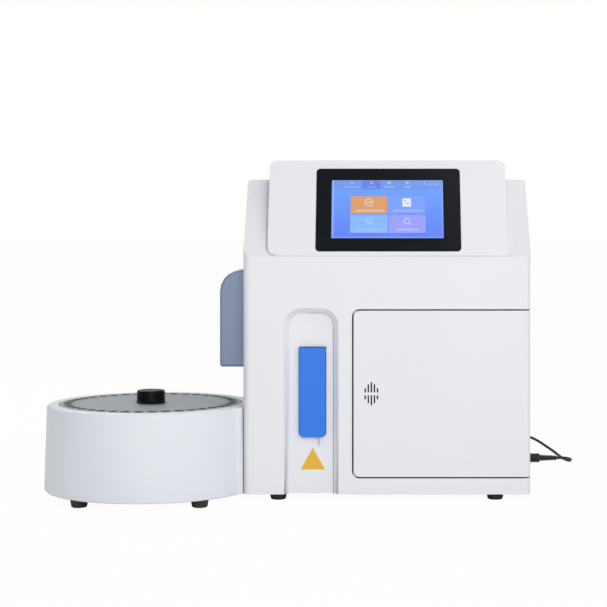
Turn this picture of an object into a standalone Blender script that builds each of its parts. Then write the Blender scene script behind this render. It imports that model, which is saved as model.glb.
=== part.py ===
"""Electrolyte analyzer with a sample tray: a bench instrument in metres, +Z up.

Places are worked out in the cabinet's own frame: X from the middle of the cabinet,
Y backwards from its front face, Z up from the table. A root empty carries the whole
object so that the origin lies under the middle of its box, without the cord.
"""
import math

import bmesh
import bpy
import numpy as np
from mathutils import Matrix, Vector

# Cabinet
BODY_WIDTH = 0.385
BODY_DEPTH = 0.300
BODY_TOP = 0.4333
FACE_TOP = 0.328
SHOULDER_RUN = 0.086
FOOT_HEIGHT = 0.010
WALL = 0.003
CORNER_RADIUS = 0.010
TOP_CORNER_RADIUS = 0.005
EDGE_SOFTNESS = 0.0025
SPLIT_DEPTH = 0.135
SILL_DEPTH = 0.022
SEAT_GAP = 0.0003
OVERRUN = 0.010

# Display housing
HEAD_WIDTH = 0.322
HEAD_OFFSET = 0.001
HEAD_RISE = 0.0253
HEAD_LEAN = 0.054
HEAD_RIDGE_DEPTH = 0.125
HEAD_REAR_DEPTH = 0.160
HEAD_TOP_RADIUS = 0.010
HEAD_LOW_RADIUS = 0.014
BEZEL_WIDTH = 0.195
BEZEL_HEIGHT = 0.121
BEZEL_OFFSET = 0.002
BEZEL_RISE = 0.0683
BEZEL_RADIUS = 0.005
BEZEL_PROUD = 0.0008
BEZEL_DEPTH = 0.0020
SCREEN_WIDTH = 0.1503
SCREEN_HEIGHT = 0.0845
SCREEN_OFFSET = 0.0009
SCREEN_RISE = 0.0691
SCREEN_SET_BACK = 0.0003
PANEL_THICKNESS = 0.003
PANEL_MARGIN = 0.002

# Sample recess in the front face
RECESS_WIDTH = 0.073
RECESS_CENTRE = -0.1012
RECESS_TOP = 0.259
RECESS_RADIUS = 0.023
RECESS_SLOPE = 0.0070
RECESS_DEPTH = 0.0115
RECESS_FLOOR = 0.006

# Flap over the sample probe
FLAP_WIDTH = 0.0354
FLAP_HEIGHT = 0.1204
FLAP_CENTRE = -0.0999
FLAP_BOTTOM = 0.0856
FLAP_FRONT = 0.006
FLAP_DEPTH = 0.013
FLAP_WALL = 0.0015
FLAP_RADIUS = 0.006
FLAP_TOP_RADIUS = 0.001
FLAP_GAP = 0.0008
FLAP_NOTCH_WIDTH = 0.024
FLAP_PIN_DEPTH = 0.0145
FLAP_PIN_DROP = 0.005
FLAP_BOSS_RADIUS = 0.0035
FLAP_TRIM_RISE = 0.0015
PIN_RADIUS = 0.0012
PIN_CLEARANCE = 0.0003

# Sample probe, its carrier and frame
PROBE_X = -0.091
PROBE_DEPTH = 0.0100
PROBE_RADIUS = 0.0008
PROBE_TIP = 0.0745
PROBE_LENGTH = 0.115
CARRIER_WIDTH = 0.012
CARRIER_FRONT = 0.0080
CARRIER_LENGTH = 0.0230
CARRIER_BOTTOM = 0.150
CARRIER_HEIGHT = 0.025
RAIL_DEPTH = 0.026
RAIL_RADIUS = 0.002
FRAME_WIDTH = 0.034
FRAME_BOTTOM = 0.076
FRAME_TOP = 0.216
FRAME_BACK = 0.037

# Reagent door and its hinge
DOOR_LEFT = -0.045
DOOR_BOTTOM = 0.033
DOOR_TOP = 0.256
DOOR_GAP = 0.0016
DOOR_RADIUS = 0.008
SWING_CLEARANCE = 0.0006
HINGE_BOSS_RADIUS = 0.0075
HINGE_BOSS_HEIGHT = 0.012
HINGE_PIN_RADIUS = 0.002
HINGE_PIN_LENGTH = 0.009
HINGE_PLATE_REACH = 0.011
GRILLE_CENTRE = -0.0211
GRILLE_HEIGHT_CENTRE = 0.1445
SLOT_WIDTH = 0.0020
SLOT_PITCH = 0.0041
SLOT_LENGTH = 0.0138
SLOT_ROW_GAP = 0.0035
SLOT_SHARES = (0.42, 0.80, 1.0, 0.80, 0.42)
BACKING_MARGIN = 0.002
BACKING_THICKNESS = 0.0012

# Reagent compartment and what stands in it
FLANGE_LAP = 0.0054
FLANGE_THICKNESS = 0.0025
FLANGE_BORDER = 0.016
FLANGE_GAP = 0.0015
LINER_WALL = 0.002
LINER_BACK_SHARE = 0.5
PACK_REAR_GAP = 0.0067
PACK_BLOCK_GAP = 0.0177
PACK_HEIGHT = 0.178
PACK_SIDE_GAP = 0.006
PACK_FRONT = 0.016
PACK_SOFTNESS = 0.004
BLOCK_WIDTH = 0.080
BLOCK_FRONT_SHARE = 0.4667
BLOCK_BOTTOM = 0.132
BLOCK_HEIGHT = 0.100
ELECTRODE_RADIUS = 0.0105
ELECTRODE_LENGTH = 0.026
ELECTRODE_PITCH = 0.0235
ELECTRODE_COUNT = 4
PUMP_WIDTH = 0.072
PUMP_FRONT_SHARE = 0.56
PUMP_BOTTOM = 0.050
PUMP_HEIGHT = 0.068
ROTOR_RADIUS = 0.024
ROTOR_LENGTH = 0.020
ROTOR_DISC = 0.003
ROLLER_RADIUS = 0.005
ROLLER_COUNT = 3
SHAFT_RADIUS = 0.004
LATCH_WIDTH = 0.008
LATCH_DEPTH = 0.012
LATCH_HEIGHT = 0.026
LATCH_SETBACK = 0.0005

# Sample tray housing, a drum joined to the cabinet's left wall
TRAY_REACH = 0.1323
TRAY_DEPTH = 0.0665
DRUM_TOP = 0.126
DRUM_TOP_RADIUS = 0.1407
DRUM_LOW_RADIUS = 0.1441
DRUM_FOOT_FILLET = 0.002
DRUM_RIM_FILLET = 0.005
WELL_RADIUS = 0.1250
WELL_FLOOR = 0.043
DRUM_WALL = 0.003
GROOVE_RADIUS = 0.1345
NECK_DEPTH = 0.133
NECK_FILLET = 0.022

# Turntable, tray, knob and drive
DISC_RADIUS = 0.1242
DISC_THICKNESS = 0.0025
SHELF_RADIUS = 0.1212
SHELF_HEIGHT = 0.078
SHELF_THICKNESS = 0.0025
HUB_RADIUS = 0.020
HOLE_RING_RADIUS = 0.1128
HOLE_RADIUS = 0.0063
HOLE_COUNT = 40
KNOB_RADIUS = 0.0199
KNOB_HEIGHT = 0.017
KNOB_SOFTNESS = 0.003
TABLE_RADIUS = 0.060
TABLE_THICKNESS = 0.010
TABLE_BOSS_RADIUS = 0.012
TABLE_BOSS_HEIGHT = 0.007
TABLE_PIN_RADIUS = 0.005
TABLE_PIN_HEIGHT = 0.015
SPINDLE_RADIUS = 0.0077
SPINDLE_DROP = 0.009
ROLLER_DRIVE_RADIUS = 0.012
ROLLER_DRIVE_HEIGHT = 0.009
MOTOR_SHAFT_RADIUS = 0.0025
MOTOR_RADIUS = 0.0175
MOTOR_HEIGHT = 0.022

# Arm housing over the tray's right-most tube place
ARM_HOUSING_WIDTH = 0.0335
ARM_HOUSING_BOTTOM = 0.178
ARM_HOUSING_TOP = 0.3094
ARM_HOUSING_DEPTH = 0.075
ARM_HOUSING_RADIUS = 0.029
ARM_HOUSING_LOW_RADIUS = 0.004
ARM_WALL = 0.0025
ARM_HOLE_RADIUS = 0.004
ARM_PROBE_RADIUS = 0.001
ARM_PROBE_LENGTH = 0.103
ARM_TIP_RISE = 0.003
CARRIAGE_WIDTH = 0.018
CARRIAGE_DEPTH = 0.021
CARRIAGE_BOTTOM = 0.250
CARRIAGE_HEIGHT = 0.025

# Printer in the top, behind the display housing
PRINTER_WIDTH = 0.100
PRINTER_FRONT_SHARE = 0.6267
PRINTER_REAR_MARGIN = 0.026
PRINTER_DROP = 0.052
PRINTER_WALL = 0.002
LID_THICKNESS = 0.003
LID_GAP = 0.0005
LID_PIN_SETBACK = 0.002
ROLL_RADIUS = 0.022
ROLL_LENGTH = 0.057
ROLL_CORE_RADIUS = 0.006

# Electronics and power
BOARD_WIDTH = 0.140
BOARD_DEPTH = 0.110
BOARD_SIDE_GAP = 0.0095
BOARD_REAR_GAP = 0.017
BOARD_THICKNESS = 0.0016
CHIP_SIZE = 0.030
CHIP_HEIGHT = 0.004
SUPPLY_WIDTH = 0.110
SUPPLY_DEPTH = 0.100
SUPPLY_HEIGHT = 0.045
SUPPLY_SIDE_GAP = 0.0495
SUPPLY_REAR_GAP = 0.017
JACK_DEPTH = 0.200
JACK_HEIGHT = 0.030
JACK_RADIUS = 0.006
JACK_BODY = 0.016
JACK_LENGTH = 0.014
SWITCH_INSET = 0.0725
SWITCH_HEIGHT = 0.060
SWITCH_WIDTH = 0.030
SWITCH_RISE = 0.022
SWITCH_PROUD = 0.0015
SWITCH_BODY_DEPTH = 0.016
SWITCH_RIM = 0.004
ROCKER_GAP = 0.0012
ROCKER_THICKNESS = 0.008
ROCKER_TILT = math.radians(7.0)

# Feet
FOOT_TOP_RADIUS = 0.012
FOOT_LOW_RADIUS = 0.0095
FOOT_SPREAD = 0.1465
FOOT_INSET = 0.025
DRUM_FOOT_RING = 0.1315
DRUM_FOOT_TURN = math.radians(37.0)

# Plug, cord, coil and wall adapter
CORD_RADIUS = 0.002
CORD_LENGTH = 1.5
PLUG_RADIUS = 0.0067
PLUG_LENGTH = 0.031
RELIEF_LENGTH = 0.025
RELIEF_RADIUS = 0.0045
RELIEF_TIP_RADIUS = 0.0035
RIB_DEPTH = 0.0009
PLUG_RIBS = 6
RELIEF_RIBS = 6
COIL_X = 0.085
COIL_BACK = 0.058
COIL_OUTER_RADIUS = 0.0317
COIL_PITCH = 0.0047
COIL_TURNS_EACH = 3.75
COIL_STEPS = 24
COIL_FLOOR_GAP = 0.0001
ADAPTER_LENGTH = 0.062
ADAPTER_DEPTH = 0.042
ADAPTER_HEIGHT = 0.030
ADAPTER_SOFTNESS = 0.004
ADAPTER_X = -0.050
ADAPTER_BACK = 0.036
PRONG_LENGTH = 0.016
PRONG_WIDTH = 0.0065
PRONG_THICKNESS = 0.0015
PRONG_SPREAD = 0.0127

# Counts
ROUND_STEPS = 32
BIG_ROUND_STEPS = 72
CORNER_STEPS = 5

# The cord's free route, hand-chosen in the cabinet's frame: from the plug, round and behind
CORD_ROUTE = (
    (0.2660, 0.2080, 0.0280), (0.2720, 0.2220, 0.0240),
    (0.2710, 0.2420, 0.0200), (0.2640, 0.2680, 0.0205), (0.2480, 0.2900, 0.0310),
    (0.2220, 0.3100, 0.0450), (0.1950, 0.3230, 0.0480), (0.1700, 0.3290, 0.0380),
    (0.1520, 0.3290, 0.0200), (0.1400, 0.3260, 0.0080),
)

# Places that follow from the sizes
HALF_WIDTH = BODY_WIDTH / 2
BODY_BOTTOM = FOOT_HEIGHT
HEAD_TOP = BODY_TOP + HEAD_RISE
LINER_DEPTH = BODY_DEPTH * LINER_BACK_SHARE
BLOCK_FRONT = LINER_DEPTH * BLOCK_FRONT_SHARE
PUMP_FRONT = LINER_DEPTH * PUMP_FRONT_SHARE
PACK_DEPTH = LINER_DEPTH - LINER_WALL - PACK_REAR_GAP - PACK_FRONT
PRINTER_FRONT = BODY_DEPTH * PRINTER_FRONT_SHARE
PRINTER_LENGTH = BODY_DEPTH - PRINTER_REAR_MARGIN - PRINTER_FRONT
BOARD_LEFT = -HALF_WIDTH + WALL + BOARD_SIDE_GAP
BOARD_FRONT = BODY_DEPTH - WALL - BOARD_REAR_GAP - BOARD_DEPTH
SUPPLY_LEFT = HALF_WIDTH - WALL - SUPPLY_SIDE_GAP - SUPPLY_WIDTH
SUPPLY_FRONT = BODY_DEPTH - WALL - SUPPLY_REAR_GAP - SUPPLY_DEPTH
SWITCH_X = -HALF_WIDTH + SWITCH_INSET
TRAY_X = -HALF_WIDTH - TRAY_REACH
TRAY_Y = TRAY_DEPTH
MATE_X = -HALF_WIDTH - SEAT_GAP
HINGE_X = HALF_WIDTH - CORNER_RADIUS
HINGE_Y = CORNER_RADIUS
FLANGE_RIGHT = HINGE_X - HINGE_PLATE_REACH - FLANGE_GAP
FLAP_TOP = FLAP_BOTTOM + FLAP_HEIGHT
FLAP_AXIS_Z = FLAP_TOP - FLAP_PIN_DROP
HEAD_TILT = math.atan2(HEAD_LEAN, HEAD_TOP - FACE_TOP)
REAR_EXTENT = BODY_DEPTH + SWITCH_PROUD
ROOT_X = -(TRAY_X - DRUM_LOW_RADIUS + HALF_WIDTH) / 2
ROOT_Y = -(TRAY_Y - DRUM_LOW_RADIUS + REAR_EXTENT) / 2
ARM_X = TRAY_X + HOLE_RING_RADIUS

COLOURS = {
    "shell": ((0.80, 0.81, 0.83), 0.45, 0.0),
    "shell_rear": ((0.76, 0.77, 0.80), 0.50, 0.0),
    "drum": ((0.78, 0.80, 0.83), 0.45, 0.0),
    "black": ((0.014, 0.014, 0.017), 0.30, 0.0),
    "rubber": ((0.020, 0.020, 0.022), 0.75, 0.0),
    "screen": ((0.10, 0.22, 0.72), 0.15, 0.0),
    "blue": ((0.050, 0.200, 0.750), 0.40, 0.0),
    "slate": ((0.155, 0.195, 0.320), 0.45, 0.0),
    "steel": ((0.62, 0.63, 0.65), 0.28, 1.0),
    "disc": ((0.42, 0.44, 0.45), 0.38, 0.8),
    "grey": ((0.30, 0.31, 0.33), 0.50, 0.0),
    "pale": ((0.66, 0.68, 0.70), 0.50, 0.0),
    "acrylic": ((0.70, 0.74, 0.78), 0.20, 0.0),
    "board": ((0.020, 0.160, 0.070), 0.50, 0.0),
    "paper": ((0.85, 0.85, 0.82), 0.80, 0.0),
    "pack": ((0.72, 0.75, 0.80), 0.55, 0.0),
}


def start_scene():
    """Clear the scene and make the two collections and the root empty."""
    for item in list(bpy.data.objects):
        bpy.data.objects.remove(item, do_unlink=True)
    parts = bpy.data.collections.new("electrolyte_analyzer")
    cutters = bpy.data.collections.new("cutters")
    bpy.context.scene.collection.children.link(parts)
    bpy.context.scene.collection.children.link(cutters)
    root = bpy.data.objects.new("analyzer_root", None)
    root.location = (ROOT_X, ROOT_Y, 0)
    parts.objects.link(root)
    return parts, cutters, root


PARTS, CUTTERS, ROOT = start_scene()


def paint(name):
    """The named material, made once."""
    known = bpy.data.materials.get(name)
    if known:
        return known
    colour, roughness, metallic = COLOURS[name]
    made = bpy.data.materials.new(name)
    made.use_nodes = True
    shader = made.node_tree.nodes["Principled BSDF"]
    shader.inputs["Base Color"].default_value = (*colour, 1)
    shader.inputs["Roughness"].default_value = roughness
    shader.inputs["Metallic"].default_value = metallic
    made.diffuse_color = (*colour, 1)
    return made


def as_object(name, mesh):
    """An object in the cutters' collection until finish() makes it a part."""
    item = bpy.data.objects.new(name, mesh)
    item.hide_render = True
    item.display_type = "WIRE"
    CUTTERS.objects.link(item)
    return item


def from_bmesh(name, bm):
    mesh = bpy.data.meshes.new(name)
    bmesh.ops.recalc_face_normals(bm, faces=bm.faces)
    bm.to_mesh(mesh)
    bm.free()
    return as_object(name, mesh)


def bake(item):
    """Turn the object's evaluated form into its mesh."""
    graph = bpy.context.evaluated_depsgraph_get()
    graph.update()
    mesh = bpy.data.meshes.new_from_object(item.evaluated_get(graph))
    item.modifiers.clear()
    item.data = mesh
    return item


def weld(item):
    bm = bmesh.new()
    bm.from_mesh(item.data)
    bmesh.ops.remove_doubles(bm, verts=bm.verts, dist=SEAT_GAP / 30)
    bmesh.ops.dissolve_degenerate(bm, edges=bm.edges, dist=SEAT_GAP / 60)
    bmesh.ops.recalc_face_normals(bm, faces=bm.faces)
    bm.to_mesh(item.data)
    bm.free()
    return item


def combine(item, other, operation):
    """Cut, join or intersect with the exact solver and keep the result."""
    step = item.modifiers.new(operation.lower(), "BOOLEAN")
    step.operation = operation
    step.solver = "EXACT"
    step.object = other
    return weld(bake(item))


def cut(item, *others):
    for other in others:
        combine(item, other, "DIFFERENCE")
    return item


def join(item, *others):
    for other in others:
        combine(item, other, "UNION")
    return item


def keep(item, *others):
    for other in others:
        combine(item, other, "INTERSECT")
    return item


def box(name, low, high):
    """A box between two corners."""
    bm = bmesh.new()
    bmesh.ops.create_cube(bm, size=1)
    size = Vector(high) - Vector(low)
    middle = (Vector(high) + Vector(low)) / 2
    bm.transform(Matrix.Translation(middle) @ Matrix.Diagonal((*size, 1)))
    return from_bmesh(name, bm)


AXES = {
    "Z": Matrix.Identity(4),
    "X": Matrix.Rotation(math.radians(90), 4, "Y"),
    "Y": Matrix.Rotation(math.radians(-90), 4, "X"),
}


def rod(name, centre, radius, low, high, axis="Z", top_radius=None, steps=ROUND_STEPS):
    """A cylinder or cone from low to high along an axis; centre gives the two other places."""
    bm = bmesh.new()
    wide = radius if top_radius is None else top_radius
    bmesh.ops.create_cone(bm, cap_ends=True, segments=steps, radius1=radius, radius2=wide, depth=high - low)
    bm.transform(AXES[axis])
    middle = {
        "Z": (centre[0], centre[1], (low + high) / 2),
        "X": ((low + high) / 2, centre[0], centre[1]),
        "Y": (centre[0], (low + high) / 2, centre[1]),
    }[axis]
    bm.transform(Matrix.Translation(middle))
    return from_bmesh(name, bm)


def arc(centre, radius, start, end, steps):
    """Points of an arc, ends included; angles in degrees."""
    turns = np.radians(np.linspace(start, end, steps + 1))
    return [(centre[0] + radius * math.cos(a), centre[1] + radius * math.sin(a)) for a in turns]


def rounded(left, right, low, high, radii):
    """An outline with radii at low-left, low-right, top-right and top-left."""
    corners = ((left, low, 180), (right, low, 270), (right, high, 0), (left, high, 90))
    signs = ((1, 1), (-1, 1), (-1, -1), (1, -1))
    outline = []
    for (x, y, start), (sx, sy), radius in zip(corners, signs, radii):
        if radius <= 0:
            outline.append((x, y))
        else:
            centre = (x + sx * radius, y + sy * radius)
            outline += arc(centre, radius, start, start + 90, CORNER_STEPS)
    return outline


PLANES = {
    "XY": Matrix.Identity(4),
    "XZ": Matrix(((1, 0, 0, 0), (0, 0, -1, 0), (0, 1, 0, 0), (0, 0, 0, 1))),
    "YZ": Matrix(((0, 0, 1, 0), (1, 0, 0, 0), (0, 1, 0, 0), (0, 0, 0, 1))),
}


def prism(name, outline, plane, low, high):
    """A flat outline, a filled 2D curve, extruded from low to high across its plane."""
    curve = bpy.data.curves.new(name, "CURVE")
    curve.dimensions = "2D"
    curve.fill_mode = "BOTH"
    curve.extrude = (high - low) / 2
    spline = curve.splines.new("POLY")
    spline.points.add(len(outline) - 1)
    for point, (u, v) in zip(spline.points, outline):
        point.co = (u, v, 0, 1)
    spline.use_cyclic_u = True
    guide = bpy.data.objects.new(name + "_outline", curve)
    CUTTERS.objects.link(guide)
    graph = bpy.context.evaluated_depsgraph_get()
    graph.update()
    mesh = bpy.data.meshes.new_from_object(guide.evaluated_get(graph))
    bpy.data.objects.remove(guide, do_unlink=True)
    middle = (low + high) / 2
    side = -middle if plane == "XZ" else middle
    mesh.transform(PLANES[plane] @ Matrix.Translation((0, 0, side)))
    return weld(as_object(name, mesh))


def turned(name, profile, centre, steps=ROUND_STEPS, closed=False):
    """A profile of (radius, height) turned about a vertical axis with a Screw modifier."""
    mesh = bpy.data.meshes.new(name)
    edges = [(i, i + 1) for i in range(len(profile) - 1)]
    if closed:
        edges.append((len(profile) - 1, 0))
    mesh.from_pydata([(r, 0, z) for r, z in profile], edges, [])
    item = as_object(name, mesh)
    screw = item.modifiers.new("turn", "SCREW")
    screw.angle = math.radians(360)
    screw.steps = steps
    screw.render_steps = steps
    screw.use_merge_vertices = True
    screw.merge_threshold = SEAT_GAP / 30
    screw.use_normal_calculate = True
    bake(item)
    item.data.transform(Matrix.Translation((centre[0], centre[1], 0)))
    return weld(item)


def soften(item, width, steps=2, limit=35):
    """Round the object's sharp edges."""
    step = item.modifiers.new("soften", "BEVEL")
    step.width = width
    step.segments = steps
    step.limit_method = "ANGLE"
    step.angle_limit = math.radians(limit)
    return bake(item)


def finish(item, colour, pivot=None):
    """Make the object a part: its material, shading, collection and place under the root."""
    origin = Vector(pivot) if pivot else Vector((0, 0, 0))
    item.data.transform(Matrix.Translation(-origin))
    item.data.materials.clear()
    item.data.materials.append(paint(colour))
    item.data.shade_smooth()
    item.data.set_sharp_from_angle(angle=math.radians(30))
    CUTTERS.objects.unlink(item)
    PARTS.objects.link(item)
    item.hide_render = False
    item.display_type = "TEXTURED"
    item.parent = ROOT
    item.location = origin
    return item


def moved_lines(outline, distances):
    """Move each side of an outline inwards by its own distance (the outline runs clockwise)."""
    sides = []
    count = len(outline)
    for i in range(count):
        start, end = Vector(outline[i]), Vector(outline[(i + 1) % count])
        along = (end - start).normalized()
        inward = Vector((along.y, -along.x))
        sides.append((start + inward * distances[i], along))
    points = []
    for i in range(count):
        (p, d), (q, e) = sides[i - 1], sides[i]
        cross = d.x * e.y - d.y * e.x
        step = ((q - p).x * e.y - (q - p).y * e.x) / cross
        points.append(tuple(p + d * step))
    return points


# Cabinet


def cabinet_side():
    """The side view of the whole cabinet, clockwise from the low front corner."""
    return [(0, BODY_BOTTOM), (0, FACE_TOP), (SHOULDER_RUN, BODY_TOP), (BODY_DEPTH, BODY_TOP),
            (BODY_DEPTH, BODY_BOTTOM)]


def cabinet_form(name, inset, bottom_inset):
    """The cabinet's whole outer form, or its hollow when inset by the wall."""
    side = moved_lines(cabinet_side(), (inset, inset, inset, inset, bottom_inset))
    reach = HALF_WIDTH - inset
    low = BODY_BOTTOM + bottom_inset
    form = prism(name, side, "YZ", -reach, reach)
    plan_radius = CORNER_RADIUS - inset
    plan = rounded(-reach, reach, inset, BODY_DEPTH - inset, (plan_radius,) * 4)
    keep(form, prism(name + "_plan", plan, "XY", low - OVERRUN, BODY_TOP + OVERRUN))
    top_radius = max(TOP_CORNER_RADIUS - inset, SEAT_GAP)
    front = rounded(-reach, reach, low - OVERRUN, BODY_TOP - inset, (0, 0, top_radius, top_radius))
    keep(form, prism(name + "_front", front, "XZ", -OVERRUN, BODY_DEPTH + OVERRUN))
    return form


def recess_outline(grow):
    half = RECESS_WIDTH / 2 + grow
    radius = RECESS_RADIUS + grow
    return rounded(RECESS_CENTRE - half, RECESS_CENTRE + half, BODY_BOTTOM - OVERRUN,
                   RECESS_TOP + grow, (0, 0, radius, radius))


def recess_cutter():
    """The recess: its outline at the front face, drawn in to the floor by the slope."""
    cutter = prism("recess_cutter", recess_outline(0), "XZ", -OVERRUN, 0)
    bm = bmesh.new()
    bm.from_mesh(cutter.data)
    bmesh.ops.dissolve_limit(bm, angle_limit=math.radians(1), verts=bm.verts, edges=bm.edges)
    back = max(bm.faces, key=lambda face: face.calc_center_median().y)
    bmesh.ops.inset_region(bm, faces=[back], thickness=RECESS_SLOPE, use_even_offset=True)
    for vert in back.verts:
        vert.co.y += RECESS_DEPTH
    bm.to_mesh(cutter.data)
    bm.free()
    return cutter


def flap_outline(grow):
    half = FLAP_WIDTH / 2 + grow
    low_radius = FLAP_RADIUS + grow
    top_radius = FLAP_TOP_RADIUS + max(grow, 0)
    return rounded(FLAP_CENTRE - half, FLAP_CENTRE + half, FLAP_BOTTOM - grow, FLAP_TOP + grow,
                   (low_radius, low_radius, top_radius, top_radius))


def door_opening():
    """The door's opening in the front wall and round its corner."""
    left = DOOR_LEFT - DOOR_GAP
    radius = DOOR_RADIUS + DOOR_GAP
    outline = rounded(left, HALF_WIDTH + OVERRUN, DOOR_BOTTOM - DOOR_GAP, DOOR_TOP + DOOR_GAP,
                      (radius, 0, 0, radius))
    face = prism("door_opening", outline, "XZ", -OVERRUN, WALL + SEAT_GAP)
    swing = rod("door_swing", (HINGE_X, HINGE_Y), CORNER_RADIUS + SWING_CLEARANCE,
                DOOR_BOTTOM - DOOR_GAP, DOOR_TOP + DOOR_GAP)
    return face, swing


def make_front_shell():
    """The front moulding: face, shoulders, front of the side walls, and the sample recess."""
    shell = soften(cabinet_form("front_shell", 0, 0), EDGE_SOFTNESS)
    keep(shell, box("front_half", (-BODY_WIDTH, -OVERRUN, BODY_BOTTOM - OVERRUN),
                    (BODY_WIDTH, SPLIT_DEPTH, BODY_TOP + OVERRUN)))
    hollow = cabinet_form("front_hollow", WALL, -OVERRUN)
    floor_back = RECESS_DEPTH + RECESS_FLOOR
    cut(hollow, prism("recess_pad", recess_outline(WALL), "XZ", -OVERRUN, floor_back))
    cut(hollow, box("front_sill", (-BODY_WIDTH, -OVERRUN, BODY_BOTTOM - 2 * OVERRUN),
                    (BODY_WIDTH, SILL_DEPTH, BODY_BOTTOM + WALL)))
    cut(shell, hollow, recess_cutter(), *door_opening())
    cut(shell, prism("flap_window", flap_outline(FLAP_GAP), "XZ", RECESS_DEPTH - OVERRUN,
                     floor_back + OVERRUN))
    pin_half = FLAP_WIDTH / 2 + FLAP_GAP + WALL
    cut(shell, rod("flap_pin_seat", (FLAP_PIN_DEPTH, FLAP_AXIS_Z), PIN_RADIUS + PIN_CLEARANCE,
                   FLAP_CENTRE - pin_half, FLAP_CENTRE + pin_half, "X", steps=12))
    return finish(shell, "shell")


def make_rear_shell():
    """The rear cover with its openings for the printer, the power jack and the switch."""
    shell = soften(cabinet_form("rear_shell", 0, 0), EDGE_SOFTNESS)
    keep(shell, box("rear_half", (-BODY_WIDTH, SPLIT_DEPTH + SEAT_GAP, BODY_BOTTOM - OVERRUN),
                    (BODY_WIDTH, BODY_DEPTH + OVERRUN, BODY_TOP + OVERRUN)))
    cut(shell, cabinet_form("rear_hollow", WALL, -OVERRUN))
    half = PRINTER_WIDTH / 2 + SEAT_GAP
    cut(shell, box("printer_opening", (-half, PRINTER_FRONT - SEAT_GAP, BODY_TOP - OVERRUN),
                   (half, PRINTER_FRONT + PRINTER_LENGTH + SEAT_GAP, BODY_TOP + OVERRUN)))
    cut(shell, rod("jack_opening", (JACK_DEPTH, JACK_HEIGHT), JACK_RADIUS + SEAT_GAP,
                   HALF_WIDTH - OVERRUN, HALF_WIDTH + OVERRUN, "X", steps=24))
    wide = SWITCH_WIDTH / 2 - SWITCH_RIM / 2
    tall = SWITCH_RISE / 2 - SWITCH_RIM / 2
    cut(shell, box("switch_opening",
                   (SWITCH_X - wide - SEAT_GAP, BODY_DEPTH - OVERRUN, SWITCH_HEIGHT - tall - SEAT_GAP),
                   (SWITCH_X + wide + SEAT_GAP, BODY_DEPTH + OVERRUN, SWITCH_HEIGHT + tall + SEAT_GAP)))
    return finish(shell, "shell_rear")


def make_base_plate():
    """The pan that closes the cabinet underneath, behind the front sill."""
    inset = WALL + SEAT_GAP
    plan = rounded(-HALF_WIDTH + inset, HALF_WIDTH - inset, SILL_DEPTH + SEAT_GAP, BODY_DEPTH - inset,
                   (0, 0, CORNER_RADIUS - WALL, CORNER_RADIUS - WALL))
    return finish(prism("base_plate", plan, "XY", BODY_BOTTOM, BODY_BOTTOM + WALL), "grey")


# Display housing


def head_side():
    """The display housing's side view, clockwise, standing on the shoulder and the top."""
    return [(0, FACE_TOP), (HEAD_LEAN, HEAD_TOP), (HEAD_RIDGE_DEPTH, HEAD_TOP),
            (HEAD_REAR_DEPTH, BODY_TOP), (SHOULDER_RUN, BODY_TOP)]


def screen_frame():
    """The matrix of the leaning display plane: its origin lies at the foot of the display."""
    return Matrix.Translation((0, 0, FACE_TOP)) @ Matrix.Rotation(math.radians(90) - HEAD_TILT, 4, "X")


def in_screen(item):
    item.data.transform(screen_frame())
    return item


def plate(name, centre, size, radius, low, high):
    """A rounded plate in the display plane."""
    (x, y), (wide, tall) = centre, size
    outline = rounded(x - wide / 2, x + wide / 2, y - tall / 2, y + tall / 2, (radius,) * 4)
    return in_screen(prism(name, outline, "XY", low, high))


def make_display_housing():
    left, right = HEAD_OFFSET - HEAD_WIDTH / 2, HEAD_OFFSET + HEAD_WIDTH / 2
    side = moved_lines(head_side(), (0, 0, 0, SEAT_GAP, SEAT_GAP))
    head = prism("display_housing", side, "YZ", left, right)
    front = rounded(left, right, FACE_TOP, HEAD_TOP,
                    (HEAD_LOW_RADIUS, HEAD_LOW_RADIUS, HEAD_TOP_RADIUS, HEAD_TOP_RADIUS))
    keep(head, prism("head_front", front, "XZ", -OVERRUN, BODY_DEPTH))
    inner = moved_lines(head_side(), (WALL, WALL, WALL, -OVERRUN / 2, -OVERRUN / 2))
    cut(head, prism("head_hollow", inner, "YZ", left + WALL, right - WALL))
    grow = 2 * SEAT_GAP
    cut(head, plate("bezel_opening", (BEZEL_OFFSET, BEZEL_RISE), (BEZEL_WIDTH + grow, BEZEL_HEIGHT + grow),
                    BEZEL_RADIUS + SEAT_GAP, -WALL - OVERRUN, OVERRUN))
    return finish(head, "shell")


def make_display():
    """The black bezel with its window, and the display panel behind it."""
    place = (BEZEL_OFFSET, BEZEL_RISE)
    bezel = plate("display_bezel", place, (BEZEL_WIDTH, BEZEL_HEIGHT), BEZEL_RADIUS, -BEZEL_DEPTH, BEZEL_PROUD)
    screen = (SCREEN_OFFSET, SCREEN_RISE)
    window = (SCREEN_WIDTH + 2 * SEAT_GAP, SCREEN_HEIGHT + 2 * SEAT_GAP)
    cut(bezel, plate("display_window", screen, window, 0, -WALL - OVERRUN, OVERRUN))
    finish(bezel, "black")
    back = (SCREEN_WIDTH + 2 * PANEL_MARGIN, SCREEN_HEIGHT + 2 * PANEL_MARGIN)
    rear = -BEZEL_DEPTH - SEAT_GAP
    panel = plate("display_panel", screen, back, 0, rear - PANEL_THICKNESS, rear)
    glass = plate("display_glass", screen, (SCREEN_WIDTH, SCREEN_HEIGHT), 0, rear - PANEL_THICKNESS / 2,
                  BEZEL_PROUD - SCREEN_SET_BACK)
    finish(join(panel, glass), "screen")


# Flap and sample probe


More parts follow.
